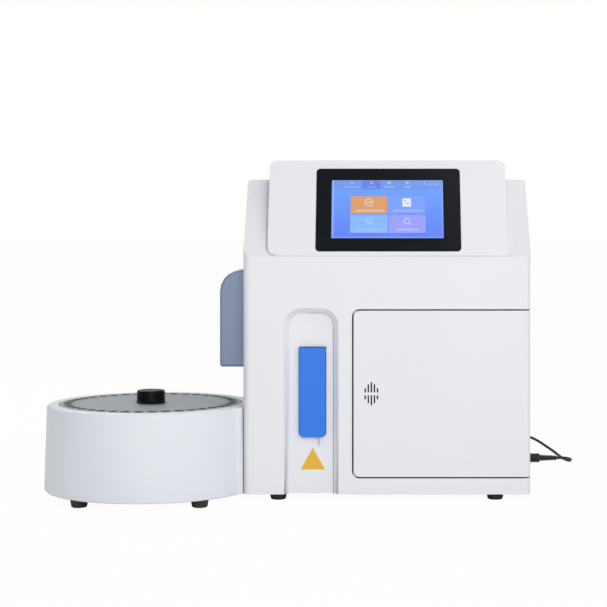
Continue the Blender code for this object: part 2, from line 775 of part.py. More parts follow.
def make_flap():
    """The flap: a shallow cup, open at the back, notched below for the probe, trimmed above to swing clear."""
    back = FLAP_FRONT + FLAP_DEPTH
    flap = prism("probe_flap", flap_outline(0), "XZ", FLAP_FRONT, back)
    cut(flap, prism("flap_hollow", flap_outline(-FLAP_WALL), "XZ", FLAP_FRONT + FLAP_WALL, back + OVERRUN))
    cut(flap, box("flap_notch", (FLAP_CENTRE - FLAP_NOTCH_WIDTH / 2, FLAP_FRONT + FLAP_WALL,
                                 FLAP_BOTTOM - OVERRUN),
                  (FLAP_CENTRE + FLAP_NOTCH_WIDTH / 2, back + OVERRUN, FLAP_BOTTOM + OVERRUN)))
    inner, wide = FLAP_FRONT + FLAP_WALL, FLAP_WIDTH
    for low, far in ((FLAP_AXIS_Z + FLAP_TRIM_RISE, FLAP_PIN_DEPTH - FLAP_BOSS_RADIUS),
                     (FLAP_AXIS_Z + FLAP_BOSS_RADIUS, back + OVERRUN)):
        cut(flap, box("flap_trim", (FLAP_CENTRE - wide, inner, low),
                      (FLAP_CENTRE + wide, far, FLAP_TOP + OVERRUN)))
    cut(flap, rod("flap_bore", (FLAP_PIN_DEPTH, FLAP_AXIS_Z), PIN_RADIUS + PIN_CLEARANCE,
                  FLAP_CENTRE - FLAP_WIDTH, FLAP_CENTRE + FLAP_WIDTH, "X", steps=12))
    finish(flap, "blue", (FLAP_CENTRE, FLAP_PIN_DEPTH, FLAP_AXIS_Z))
    reach = FLAP_WIDTH / 2 + FLAP_GAP + WALL - SEAT_GAP
    pin = rod("flap_pin", (FLAP_PIN_DEPTH, FLAP_AXIS_Z), PIN_RADIUS, FLAP_CENTRE - reach,
              FLAP_CENTRE + reach, "X", steps=12)
    finish(pin, "steel")


def make_probe():
    """The probe's frame with its rail, the carrier that slides on it, and the probe."""
    front = RECESS_DEPTH + RECESS_FLOOR + SEAT_GAP
    left = PROBE_X - FRAME_WIDTH / 2
    frame = box("probe_frame", (left, FRAME_BACK - WALL, FRAME_BOTTOM),
                (left + FRAME_WIDTH, FRAME_BACK, FRAME_TOP))
    for low in (FRAME_BOTTOM, FRAME_TOP - WALL):
        join(frame, box("frame_flange", (left, front, low), (left + FRAME_WIDTH, FRAME_BACK, low + WALL)))
    join(frame, rod("frame_rail", (PROBE_X, RAIL_DEPTH), RAIL_RADIUS, FRAME_BOTTOM + WALL / 2,
                    FRAME_TOP - WALL / 2, steps=16))
    finish(frame, "grey")
    half = CARRIER_WIDTH / 2
    carrier = box("probe_carrier", (PROBE_X - half, CARRIER_FRONT, CARRIER_BOTTOM),
                  (PROBE_X + half, CARRIER_FRONT + CARRIER_LENGTH, CARRIER_BOTTOM + CARRIER_HEIGHT))
    low, high = CARRIER_BOTTOM - OVERRUN, CARRIER_BOTTOM + CARRIER_HEIGHT + OVERRUN
    cut(carrier, rod("rail_bore", (PROBE_X, RAIL_DEPTH), RAIL_RADIUS + SEAT_GAP, low, high, steps=16),
        rod("probe_bore", (PROBE_X, PROBE_DEPTH), PROBE_RADIUS + SEAT_GAP, low, high, steps=12))
    finish(carrier, "pale")
    probe = rod("sample_probe", (PROBE_X, PROBE_DEPTH), PROBE_RADIUS, PROBE_TIP, PROBE_TIP + PROBE_LENGTH,
                steps=10)
    finish(probe, "steel")


# Reagent door


def door_plan():
    """The door seen from above: a flat panel that runs into the rounded corner."""
    centre = (HINGE_X, HINGE_Y)
    outer = arc(centre, CORNER_RADIUS, 270, 360, CORNER_STEPS)
    inner = arc(centre, CORNER_RADIUS - WALL, 360, 270, CORNER_STEPS)
    return [(DOOR_LEFT, 0), *outer, *inner, (DOOR_LEFT, WALL)]


def grille_slots():
    """Two rows of upright slots whose lengths fall off to the sides."""
    slots = []
    count = len(SLOT_SHARES)
    for column, share in enumerate(SLOT_SHARES):
        x = GRILLE_CENTRE + (column - (count - 1) / 2) * SLOT_PITCH
        for side in (-1, 1):
            near = GRILLE_HEIGHT_CENTRE + side * SLOT_ROW_GAP / 2
            far = near + side * SLOT_LENGTH * share
            slots.append(box("grille_slot", (x - SLOT_WIDTH / 2, -OVERRUN, min(near, far)),
                             (x + SLOT_WIDTH / 2, WALL + OVERRUN, max(near, far))))
    return slots


def make_door():
    door = prism("reagent_door", door_plan(), "XY", DOOR_BOTTOM, DOOR_TOP)
    front = rounded(DOOR_LEFT, HALF_WIDTH + OVERRUN, DOOR_BOTTOM, DOOR_TOP, (DOOR_RADIUS, 0, 0, DOOR_RADIUS))
    keep(door, prism("door_front", front, "XZ", -OVERRUN, 2 * OVERRUN))
    centre = (HINGE_X, HINGE_Y)
    ends = ((DOOR_BOTTOM, DOOR_BOTTOM + HINGE_BOSS_HEIGHT), (DOOR_TOP - HINGE_BOSS_HEIGHT, DOOR_TOP))
    for low, high in ends:
        join(door, rod("hinge_boss", centre, HINGE_BOSS_RADIUS, low, high, steps=24))
    for low, high in ends:
        cut(door, rod("hinge_bore", centre, HINGE_PIN_RADIUS + SEAT_GAP, low - OVERRUN, high + OVERRUN,
                      steps=16))
    cut(door, *grille_slots())
    finish(door, "shell", (HINGE_X, HINGE_Y, 0))
    wide = SLOT_PITCH * (len(SLOT_SHARES) - 1) / 2 + SLOT_WIDTH / 2 + BACKING_MARGIN
    tall = SLOT_ROW_GAP / 2 + SLOT_LENGTH + BACKING_MARGIN
    back = WALL + SEAT_GAP
    backing = box("grille_backing", (GRILLE_CENTRE - wide, back, GRILLE_HEIGHT_CENTRE - tall),
                  (GRILLE_CENTRE + wide, back + BACKING_THICKNESS, GRILLE_HEIGHT_CENTRE + tall))
    finish(backing, "black", (HINGE_X, HINGE_Y, 0))


def make_hinge(name, side):
    """A hinge plate inside the cabinet's corner, with the pin that enters the door's boss."""
    edge = DOOR_TOP + DOOR_GAP if side > 0 else DOOR_BOTTOM - DOOR_GAP
    near = edge + side * SEAT_GAP
    far = near + side * WALL
    low, high = min(near, far), max(near, far)
    inner = CORNER_RADIUS - WALL - SEAT_GAP
    hinge = rod(name, (HINGE_X, HINGE_Y), inner, low, high, steps=24)
    join(hinge, box("hinge_plate", (HINGE_X - HINGE_PLATE_REACH, WALL + SEAT_GAP, low),
                    (HINGE_X, HINGE_Y + inner, high)))
    tip = far - side * (WALL + DOOR_GAP + HINGE_PIN_LENGTH)
    join(hinge, rod("hinge_pin", (HINGE_X, HINGE_Y), HINGE_PIN_RADIUS, min(tip, near + side * WALL / 2),
                    max(tip, near + side * WALL / 2), steps=16))
    return finish(hinge, "steel")


# Reagent compartment


def liner_box():
    """The compartment's inner corners."""
    left = DOOR_LEFT - DOOR_GAP - FLANGE_LAP + FLANGE_BORDER
    right = FLANGE_RIGHT - LINER_WALL * 2
    low = DOOR_BOTTOM - DOOR_GAP - FLANGE_LAP + FLANGE_BORDER
    high = DOOR_TOP + DOOR_GAP + FLANGE_LAP - FLANGE_BORDER
    return left, right, low, high


def make_liner():
    """An open box behind the door with a flange against the back of the front wall."""
    left, right, low, high = liner_box()
    front = WALL + SEAT_GAP
    lap = DOOR_GAP + FLANGE_LAP
    liner = box("compartment_liner", (DOOR_LEFT - lap, front, DOOR_BOTTOM - lap),
                (FLANGE_RIGHT, front + FLANGE_THICKNESS, DOOR_TOP + lap))
    join(liner, box("liner_outer", (left - LINER_WALL, front + FLANGE_THICKNESS / 2, low - LINER_WALL),
                    (right + LINER_WALL, LINER_DEPTH, high + LINER_WALL)))
    cut(liner, box("liner_inner", (left, -OVERRUN, low), (right, LINER_DEPTH - LINER_WALL, high)))
    finish(liner, "pale")
    bottom = (low + high - LATCH_HEIGHT) / 2
    latch_front = front + FLANGE_THICKNESS + LATCH_SETBACK
    latch = box("door_latch", (left + SEAT_GAP, latch_front, bottom),
                (left + SEAT_GAP + LATCH_WIDTH, latch_front + LATCH_DEPTH, bottom + LATCH_HEIGHT))
    finish(latch, "grey")


def make_reagent_pack():
    left, right, low, high = liner_box()
    edge = right - PACK_SIDE_GAP
    near = left + SEAT_GAP + BLOCK_WIDTH + PACK_BLOCK_GAP
    pack = box("reagent_pack", (near, PACK_FRONT, low + SEAT_GAP),
               (edge, PACK_FRONT + PACK_DEPTH, low + SEAT_GAP + PACK_HEIGHT))
    return finish(soften(pack, PACK_SOFTNESS), "pack")


def make_electrodes():
    """The electrode block on the compartment's back wall and the electrodes in front of it."""
    left, right, low, high = liner_box()
    back = LINER_DEPTH - LINER_WALL - SEAT_GAP
    start = left + SEAT_GAP
    finish(box("electrode_block", (start, BLOCK_FRONT, BLOCK_BOTTOM),
               (start + BLOCK_WIDTH, back, BLOCK_BOTTOM + BLOCK_HEIGHT)), "pale")
    x = start + BLOCK_WIDTH / 2
    face = BLOCK_FRONT - SEAT_GAP
    for index in range(ELECTRODE_COUNT):
        z = BLOCK_BOTTOM + BLOCK_HEIGHT / 2 + (index - (ELECTRODE_COUNT - 1) / 2) * ELECTRODE_PITCH
        electrode = rod("electrode_%d" % (index + 1), (x, z), ELECTRODE_RADIUS, face - ELECTRODE_LENGTH,
                        face, "Y", steps=20)
        finish(electrode, "acrylic")


def make_pump():
    """The peristaltic pump: its head with a shaft, and the rotor with three rollers."""
    left, right, low, high = liner_box()
    back = LINER_DEPTH - LINER_WALL - SEAT_GAP
    start = left + SEAT_GAP
    x, z = start + PUMP_WIDTH / 2, PUMP_BOTTOM + PUMP_HEIGHT / 2
    head = box("pump_head", (start, PUMP_FRONT, PUMP_BOTTOM),
               (start + PUMP_WIDTH, back, PUMP_BOTTOM + PUMP_HEIGHT))
    near = PUMP_FRONT - SEAT_GAP
    far = near - ROTOR_LENGTH
    join(head, rod("pump_shaft", (x, z), SHAFT_RADIUS, far, PUMP_FRONT + OVERRUN, "Y", steps=16))
    finish(head, "grey")
    rotor = rod("pump_rotor", (x, z), ROTOR_RADIUS, near - ROTOR_DISC, near, "Y", steps=24)
    join(rotor, rod("rotor_front", (x, z), ROTOR_RADIUS, far, far + ROTOR_DISC, "Y", steps=24))
    for index in range(ROLLER_COUNT):
        turn = 2 * math.pi * index / ROLLER_COUNT + math.pi / 2
        reach = ROTOR_RADIUS - ROLLER_RADIUS - PIN_CLEARANCE
        place = (x + reach * math.cos(turn), z + reach * math.sin(turn))
        join(rotor, rod("pump_roller", place, ROLLER_RADIUS, far + ROTOR_DISC / 2, near - ROTOR_DISC / 2,
                        "Y", steps=12))
    cut(rotor, rod("rotor_bore", (x, z), SHAFT_RADIUS + SEAT_GAP, far - OVERRUN, near + OVERRUN, "Y",
                   steps=16))
    finish(rotor, "pale", (x, near, z))


# Sample tray


def neck_outline():
    """The neck seen from above: flush with the front face, filleted into the drum, mirrored behind."""
    radius = DRUM_TOP_RADIUS
    half = NECK_DEPTH / 2
    side = half + NECK_FILLET
    along = math.sqrt((radius + NECK_FILLET) ** 2 - side ** 2)
    centre = (TRAY_X + along, TRAY_Y - side)
    touch = math.degrees(math.atan2(side, -along))
    front = arc(centre, NECK_FILLET, touch, 90, CORNER_STEPS)
    back = [(x, 2 * TRAY_Y - y) for x, y in reversed(front)]
    inner = TRAY_X + WELL_RADIUS / 2
    edge = -HALF_WIDTH + OVERRUN
    corner = [(edge, TRAY_Y - half), (edge, TRAY_Y + half)]
    return [(inner, front[0][1]), *front, *corner, *back, (inner, back[-1][1])]


def drum_profile():
    fillet = DRUM_FOOT_FILLET
    rim = DRUM_RIM_FILLET
    bend = arc((DRUM_TOP_RADIUS - rim, DRUM_TOP - rim), rim, 0, 90, CORNER_STEPS)
    return [(0, BODY_BOTTOM), (DRUM_LOW_RADIUS - fillet, BODY_BOTTOM), (DRUM_LOW_RADIUS, BODY_BOTTOM + fillet),
            *bend, (0, DRUM_TOP)][::-1]


def motor_place():
    """The drive's shaft, behind the turntable and touching its rim."""
    return (TRAY_X, TRAY_Y + TABLE_RADIUS + ROLLER_DRIVE_RADIUS + SEAT_GAP)


def make_tray_housing():
    centre = (TRAY_X, TRAY_Y)
    drum = turned("tray_housing", drum_profile(), centre, BIG_ROUND_STEPS)
    join(drum, prism("tray_neck", neck_outline(), "XY", BODY_BOTTOM + SEAT_GAP, DRUM_TOP - SEAT_GAP))
    far = BODY_WIDTH
    cut(drum, box("mating_plane", (MATE_X, -far, -OVERRUN), (far, far, BODY_TOP)))
    well = rod("tray_well", centre, WELL_RADIUS, WELL_FLOOR, DRUM_TOP + OVERRUN, steps=BIG_ROUND_STEPS)
    under = rod("drum_under", centre, WELL_RADIUS, -OVERRUN, WELL_FLOOR - DRUM_WALL, steps=BIG_ROUND_STEPS)
    groove = turned("drum_groove", [(GROOVE_RADIUS, DRUM_TOP - DRUM_WALL), (GROOVE_RADIUS, -OVERRUN),
                                    (WELL_RADIUS + DRUM_WALL, -OVERRUN),
                                    (WELL_RADIUS + DRUM_WALL, DRUM_TOP - DRUM_WALL)],
                    centre, BIG_ROUND_STEPS, closed=True)
    cut(groove, box("groove_stop", (MATE_X - DRUM_WALL, -far, -2 * OVERRUN), (far, far, BODY_TOP)))
    bearing = rod("drum_bearing", centre, SPINDLE_RADIUS + SEAT_GAP, 0, DRUM_TOP, steps=24)
    drive = rod("drive_bore", motor_place(), MOTOR_SHAFT_RADIUS + SEAT_GAP, 0, DRUM_TOP, steps=12)
    cut(drum, well, under, groove, bearing, drive)
    return finish(drum, "drum")


def make_turntable():
    rest = WELL_FLOOR + SEAT_GAP
    top = rest + TABLE_THICKNESS
    boss = top + TABLE_BOSS_HEIGHT
    profile = [(0, boss + TABLE_PIN_HEIGHT), (TABLE_PIN_RADIUS, boss + TABLE_PIN_HEIGHT),
               (TABLE_PIN_RADIUS, boss), (TABLE_BOSS_RADIUS, boss), (TABLE_BOSS_RADIUS, top),
               (TABLE_RADIUS, top), (TABLE_RADIUS, rest), (SPINDLE_RADIUS, rest),
               (SPINDLE_RADIUS, rest - SPINDLE_DROP), (0, rest - SPINDLE_DROP)]
    finish(turned("turntable", profile, (TRAY_X, TRAY_Y), 48), "grey", (TRAY_X, TRAY_Y, 0))
    place = motor_place()
    low = rest + SEAT_GAP
    roller = [(0, low + ROLLER_DRIVE_HEIGHT), (ROLLER_DRIVE_RADIUS, low + ROLLER_DRIVE_HEIGHT),
              (ROLLER_DRIVE_RADIUS, low), (MOTOR_SHAFT_RADIUS, low),
              (MOTOR_SHAFT_RADIUS, WELL_FLOOR - DRUM_WALL - OVERRUN), (0, WELL_FLOOR - DRUM_WALL - OVERRUN)]
    finish(turned("drive_roller", roller, place, 24), "rubber", (*place, 0))
    high = WELL_FLOOR - DRUM_WALL - SEAT_GAP
    motor = rod("tray_motor", place, MOTOR_RADIUS, high - MOTOR_HEIGHT, high, steps=24)
    cut(motor, rod("motor_bore", place, MOTOR_SHAFT_RADIUS + SEAT_GAP, high - OVERRUN - SEAT_GAP * 2,
                   high + OVERRUN, steps=12))
    finish(motor, "grey")


def make_tray():
    """The tray: a hub that drops on the turntable's pin, a shelf, and the disc with tube places."""
    low = WELL_FLOOR + SEAT_GAP + TABLE_THICKNESS + TABLE_BOSS_HEIGHT + SEAT_GAP
    bore_top = low + TABLE_PIN_HEIGHT + SEAT_GAP
    bore = TABLE_PIN_RADIUS + SEAT_GAP
    disc_low = DRUM_TOP - DISC_THICKNESS
    shelf_top = SHELF_HEIGHT + SHELF_THICKNESS
    profile = [(0, DRUM_TOP), (DISC_RADIUS, DRUM_TOP), (DISC_RADIUS, disc_low), (HUB_RADIUS, disc_low),
               (HUB_RADIUS, shelf_top), (SHELF_RADIUS, shelf_top), (SHELF_RADIUS, SHELF_HEIGHT),
               (HUB_RADIUS, SHELF_HEIGHT), (HUB_RADIUS, low), (bore, low), (bore, bore_top), (0, bore_top)]
    tray = turned("sample_tray", profile, (TRAY_X, TRAY_Y), BIG_ROUND_STEPS)
    bm = bmesh.new()
    for index in range(HOLE_COUNT):
        turn = 2 * math.pi * index / HOLE_COUNT
        made = bmesh.ops.create_cone(bm, cap_ends=True, segments=12, radius1=HOLE_RADIUS,
                                     radius2=HOLE_RADIUS, depth=OVERRUN)
        shift = (TRAY_X + HOLE_RING_RADIUS * math.cos(turn), TRAY_Y + HOLE_RING_RADIUS * math.sin(turn),
                 DRUM_TOP)
        bmesh.ops.translate(bm, verts=made["verts"], vec=shift)
    cut(tray, from_bmesh("tube_places", bm))
    finish(tray, "disc", (TRAY_X, TRAY_Y, 0))
    knob = turned("tray_knob", [(0, DRUM_TOP + SEAT_GAP + KNOB_HEIGHT),
                                (KNOB_RADIUS - KNOB_SOFTNESS, DRUM_TOP + SEAT_GAP + KNOB_HEIGHT),
                                (KNOB_RADIUS - KNOB_SOFTNESS * 0.3,
                                 DRUM_TOP + SEAT_GAP + KNOB_HEIGHT - KNOB_SOFTNESS * 0.3),
                                (KNOB_RADIUS, DRUM_TOP + SEAT_GAP + KNOB_HEIGHT - KNOB_SOFTNESS),
                                (KNOB_RADIUS, DRUM_TOP + SEAT_GAP), (0, DRUM_TOP + SEAT_GAP)],
                  (TRAY_X, TRAY_Y), 32)
    finish(knob, "black", (TRAY_X, TRAY_Y, 0))


# Arm housing


def arm_outline(inset, right):
    left = MATE_X - ARM_HOUSING_WIDTH + inset
    radius = ARM_HOUSING_RADIUS - inset
    low_radius = ARM_HOUSING_LOW_RADIUS - inset
    return rounded(left, right, ARM_HOUSING_BOTTOM + inset, ARM_HOUSING_TOP - inset,
                   (low_radius, 0, 0, radius))


def make_arm():
    """The arm's cover on the cabinet's left wall, the carriage inside it and its probe."""
    front = TRAY_Y - ARM_HOUSING_DEPTH / 2
    back = TRAY_Y + ARM_HOUSING_DEPTH / 2
    cover = prism("arm_housing", arm_outline(0, MATE_X), "XZ", front, back)
    cut(cover, prism("arm_hollow", arm_outline(ARM_WALL, 0), "XZ", front + ARM_WALL, back - ARM_WALL))
    cut(cover, rod("arm_hole", (ARM_X, TRAY_Y), ARM_HOLE_RADIUS, ARM_HOUSING_BOTTOM - OVERRUN,
                   ARM_HOUSING_BOTTOM + OVERRUN, steps=16))
    finish(cover, "slate")
    left = MATE_X - ARM_HOUSING_WIDTH + ARM_WALL + SEAT_GAP
    half = CARRIAGE_DEPTH / 2
    carriage = box("arm_carriage", (left, TRAY_Y - half, CARRIAGE_BOTTOM),
                   (left + CARRIAGE_WIDTH, TRAY_Y + half, CARRIAGE_BOTTOM + CARRIAGE_HEIGHT))
    cut(carriage, rod("arm_bore", (ARM_X, TRAY_Y), ARM_PROBE_RADIUS + SEAT_GAP, CARRIAGE_BOTTOM - OVERRUN,
                      CARRIAGE_BOTTOM + CARRIAGE_HEIGHT + OVERRUN, steps=12))
    finish(carriage, "pale")
    tip = ARM_HOUSING_BOTTOM + ARM_TIP_RISE
    finish(rod("arm_probe", (ARM_X, TRAY_Y), ARM_PROBE_RADIUS, tip, tip + ARM_PROBE_LENGTH, steps=10), "steel")


# Printer


def make_printer():
    """The printer's bay in the top, its lid on two stub pins, and the paper roll."""
    half = PRINTER_WIDTH / 2
    back = PRINTER_FRONT + PRINTER_LENGTH
    low = BODY_TOP - PRINTER_DROP
    bay = box("printer_bay", (-half, PRINTER_FRONT, low), (half, back, BODY_TOP))
    cut(bay, box("bay_hollow", (-half + PRINTER_WALL, PRINTER_FRONT + PRINTER_WALL, low + PRINTER_WALL),
                 (half - PRINTER_WALL, back - PRINTER_WALL, BODY_TOP + OVERRUN)))
    axis_y = back - PRINTER_WALL - LID_GAP - LID_PIN_SETBACK
    axis_z = BODY_TOP - LID_THICKNESS / 2
    cut(bay, rod("lid_pin_seat", (axis_y, axis_z), PIN_RADIUS + PIN_CLEARANCE / 2, -half - OVERRUN, half + OVERRUN,
                 "X", steps=12))
    finish(bay, "grey")
    lid_half = half - PRINTER_WALL - LID_GAP
    lid = box("printer_lid", (-lid_half, PRINTER_FRONT + PRINTER_WALL + LID_GAP, BODY_TOP - LID_THICKNESS),
              (lid_half, back - PRINTER_WALL - LID_GAP, BODY_TOP))
    reach = half - SEAT_GAP
    join(lid, rod("lid_pin", (axis_y, axis_z), PIN_RADIUS - PIN_CLEARANCE / 2, -reach, reach, "X", steps=12))
    finish(lid, "shell_rear", (0, axis_y, axis_z))
    centre = (PRINTER_FRONT + PRINTER_LENGTH / 2, low + PRINTER_WALL + SEAT_GAP + ROLL_RADIUS)
    roll = rod("paper_roll", centre, ROLL_RADIUS, -ROLL_LENGTH / 2, ROLL_LENGTH / 2, "X", steps=32)
    cut(roll, rod("roll_core", centre, ROLL_CORE_RADIUS, -ROLL_LENGTH, ROLL_LENGTH, "X", steps=16))
    finish(roll, "paper", (0, *centre))


# Electronics and power


def make_electronics():
    floor = BODY_BOTTOM + WALL + SEAT_GAP
    board = box("main_board", (BOARD_LEFT, BOARD_FRONT, floor),
                (BOARD_LEFT + BOARD_WIDTH, BOARD_FRONT + BOARD_DEPTH, floor + BOARD_THICKNESS))
    mid_x = BOARD_LEFT + BOARD_WIDTH / 2
    mid_y = BOARD_FRONT + BOARD_DEPTH / 2
    join(board, box("board_chip", (mid_x - CHIP_SIZE / 2, mid_y - CHIP_SIZE / 2, floor + BOARD_THICKNESS / 2),
                    (mid_x + CHIP_SIZE / 2, mid_y + CHIP_SIZE / 2, floor + BOARD_THICKNESS + CHIP_HEIGHT)))
    finish(board, "board")
    finish(box("power_supply", (SUPPLY_LEFT, SUPPLY_FRONT, floor),
               (SUPPLY_LEFT + SUPPLY_WIDTH, SUPPLY_FRONT + SUPPLY_DEPTH, floor + SUPPLY_HEIGHT)), "grey")


def make_power_entry():
    """The jack in the right wall and the rocker switch in the rear wall."""
    inner = HALF_WIDTH - WALL - SEAT_GAP
    half = JACK_BODY / 2
    jack = box("power_jack", (inner - JACK_LENGTH, JACK_DEPTH - half, JACK_HEIGHT - half),
               (inner, JACK_DEPTH + half, JACK_HEIGHT + half))
    join(jack, rod("jack_nose", (JACK_DEPTH, JACK_HEIGHT), JACK_RADIUS, inner - JACK_LENGTH / 2, HALF_WIDTH, "X",
                   steps=24))
    finish(jack, "black")
    wide, tall = SWITCH_WIDTH / 2, SWITCH_RISE / 2
    rim = SWITCH_RIM / 2
    bezel = box("switch_bezel", (SWITCH_X - wide + rim, BODY_DEPTH - SWITCH_BODY_DEPTH, SWITCH_HEIGHT - tall + rim),
                (SWITCH_X + wide - rim, BODY_DEPTH + SWITCH_PROUD / 2, SWITCH_HEIGHT + tall - rim))
    join(bezel, box("switch_rim", (SWITCH_X - wide, BODY_DEPTH + SEAT_GAP, SWITCH_HEIGHT - tall),
                    (SWITCH_X + wide, BODY_DEPTH + SWITCH_PROUD, SWITCH_HEIGHT + tall)))
    hole_wide, hole_tall = wide - SWITCH_RIM, tall - SWITCH_RIM
    cut(bezel, box("switch_hole", (SWITCH_X - hole_wide, BODY_DEPTH - SWITCH_BODY_DEPTH + WALL,
                                   SWITCH_HEIGHT - hole_tall),
                   (SWITCH_X + hole_wide, BODY_DEPTH + OVERRUN, SWITCH_HEIGHT + hole_tall)))
    axis = (SWITCH_X, BODY_DEPTH - ROCKER_THICKNESS / 2, SWITCH_HEIGHT)
    pin_reach = hole_wide + SWITCH_RIM / 2 - SEAT_GAP
    cut(bezel, rod("rocker_seat", axis[1:], PIN_RADIUS, SWITCH_X - pin_reach - SEAT_GAP,
                   SWITCH_X + pin_reach + SEAT_GAP, "X", steps=12))
    finish(bezel, "black")
    rocker_half = hole_tall - ROCKER_GAP
    rocker = box("power_rocker", (-hole_wide + SEAT_GAP, -ROCKER_THICKNESS / 2, -rocker_half),
                 (hole_wide - SEAT_GAP, ROCKER_THICKNESS / 2, rocker_half))
    join(rocker, rod("rocker_pin", (0, 0), PIN_RADIUS - SEAT_GAP, -pin_reach, pin_reach, "X", steps=12))
    rocker.data.transform(Matrix.Translation(axis) @ Matrix.Rotation(ROCKER_TILT, 4, "X"))
    finish(rocker, "black", axis)


def make_feet():
    """Four feet under the cabinet and four under the tray housing."""
    top = BODY_BOTTOM - SEAT_GAP
    places = [(side * FOOT_SPREAD, depth) for depth in (FOOT_INSET, BODY_DEPTH - FOOT_INSET) for side in (-1, 1)]
    for index, place in enumerate(places):
        foot = rod("foot_body_%d" % (index + 1), place, FOOT_LOW_RADIUS, 0, top, top_radius=FOOT_TOP_RADIUS, steps=20)
        finish(foot, "rubber")
    for index, (sx, sy) in enumerate(((-1, -1), (1, -1), (-1, 1), (1, 1))):
        place = (TRAY_X + sx * DRUM_FOOT_RING * math.sin(DRUM_FOOT_TURN),
                 TRAY_Y + sy * DRUM_FOOT_RING * math.cos(DRUM_FOOT_TURN))
        foot = rod("foot_tray_%d" % (index + 1), place, FOOT_LOW_RADIUS, 0, top, top_radius=FOOT_TOP_RADIUS, steps=20)
        finish(foot, "rubber")


# Cord


def plug_profile():
    """The plug's radius along its length: a ribbed grip, then a ribbed tapering relief."""
    profile = [(0, 0), (PLUG_RADIUS, 0)]
    for index in range(PLUG_RIBS):
        step = PLUG_LENGTH / (PLUG_RIBS + 1)
        at = step * (index + 1)
        profile += [(PLUG_RADIUS, at - step / 6), (PLUG_RADIUS - RIB_DEPTH, at), (PLUG_RADIUS, at + step / 6)]
    profile += [(PLUG_RADIUS, PLUG_LENGTH - RIB_DEPTH), (RELIEF_RADIUS, PLUG_LENGTH)]
    for index in range(RELIEF_RIBS):
        step = RELIEF_LENGTH / (RELIEF_RIBS + 1)
        at = step * (index + 1)
        radius = RELIEF_RADIUS + (RELIEF_TIP_RADIUS - RELIEF_RADIUS) * at / RELIEF_LENGTH
        profile += [(radius, PLUG_LENGTH + at - step / 6), (radius - RIB_DEPTH, PLUG_LENGTH + at),
                    (radius, PLUG_LENGTH + at + step / 6)]
    end = PLUG_LENGTH + RELIEF_LENGTH
    return profile + [(RELIEF_TIP_RADIUS, end), (0, end)]


def make_plug():
    plug = turned("power_plug", plug_profile()[::-1], (0, 0), 16)
    plug.data.transform(Matrix.Translation((HALF_WIDTH + SEAT_GAP, JACK_DEPTH, JACK_HEIGHT)) @ AXES["X"])
    return finish(weld(plug), "rubber")


def coil_centre():
    return Vector((COIL_X, BODY_DEPTH + COIL_BACK, CORD_RADIUS + COIL_FLOOR_GAP))


def coil_points():
    """One tube wound inwards on the floor, up a layer, and outwards again, with straight ends."""
    centre = coil_centre()
    count = round(COIL_TURNS_EACH * COIL_STEPS)
    inner = COIL_OUTER_RADIUS - COIL_TURNS_EACH * COIL_PITCH
    climb = COIL_STEPS // 2
    points = []
    for step in range(2 * count + climb + 1):
        turn = 2 * math.pi * step / COIL_STEPS
        if step <= count:
            radius, rise = COIL_OUTER_RADIUS - COIL_PITCH * step / COIL_STEPS, 0
        elif step <= count + climb:
            share = (step - count) / climb
            radius, rise = inner - COIL_PITCH * math.sin(math.pi * share) / 4, COIL_PITCH * share
        else:
            radius = inner + COIL_PITCH * (step - count - climb) / COIL_STEPS
            rise = COIL_PITCH
        points.append(centre + Vector((-radius * math.sin(turn), -radius * math.cos(turn), rise)))
    first = (points[0] - points[1]).normalized() * 2 * CORD_RADIUS
    last = (points[-1] - points[-2]).normalized() * 2 * CORD_RADIUS
    return [points[0] + first, *points, points[-1] + last]


def smooth_route(route, spacing):
    """Points at an even spacing on a smooth curve through the route."""
    ends = [2 * route[0] - route[1], *route, 2 * route[-1] - route[-2]]
    fine = []
    for i in range(1, len(ends) - 2):
        a, b, c, d = ends[i - 1:i + 3]
        for t in np.linspace(0, 1, 12, endpoint=False):
            fine.append(((2 * b) + (c - a) * t + (2 * a - 5 * b + 4 * c - d) * t ** 2
                         + (3 * b - a - 3 * c + d) * t ** 3) / 2)
    fine.append(route[-1])
    lengths = [0]
    for first, second in zip(fine, fine[1:]):
        lengths.append(lengths[-1] + (second - first).length)
    count = max(2, round(lengths[-1] / spacing))
    wanted = np.linspace(0, lengths[-1], count + 1)
    columns = [np.interp(wanted, lengths, [p[k] for p in fine]) for k in range(3)]
    return [Vector(p) for p in zip(*columns)], lengths[-1]


def tube(name, points, resolution):
    """A tube along points: a curve with a bevel and filled caps, made a mesh."""
    curve = bpy.data.curves.new(name, "CURVE")
    curve.dimensions = "3D"
    curve.bevel_depth = CORD_RADIUS
    curve.bevel_resolution = resolution
    curve.use_fill_caps = True
    spline = curve.splines.new("POLY")
    spline.points.add(len(points) - 1)
    for place, point in zip(spline.points, points):
        place.co = (*point, 1)
    guide = bpy.data.objects.new(name + "_line", curve)
    CUTTERS.objects.link(guide)
    graph = bpy.context.evaluated_depsgraph_get()
    graph.update()
    mesh = bpy.data.meshes.new_from_object(guide.evaluated_get(graph))
    bpy.data.objects.remove(guide, do_unlink=True)
    return weld(as_object(name, mesh))


def least_gap(points):
    """The least gap between turns of the coil, measured on points along its line."""
    fine = []
    for a, b in zip(points, points[1:]):
        fine += [a.lerp(b, t) for t in np.linspace(0, 1, 6, endpoint=False)]
    line = np.array([tuple(p) for p in fine])
    apart = COIL_STEPS * 3
    least = min(np.linalg.norm(line[i + apart:] - line[i], axis=1).min() for i in range(len(line) - apart - 1))
    return least - 2 * CORD_RADIUS


def path_length(points):
    return sum((b - a).length for a, b in zip(points, points[1:]))


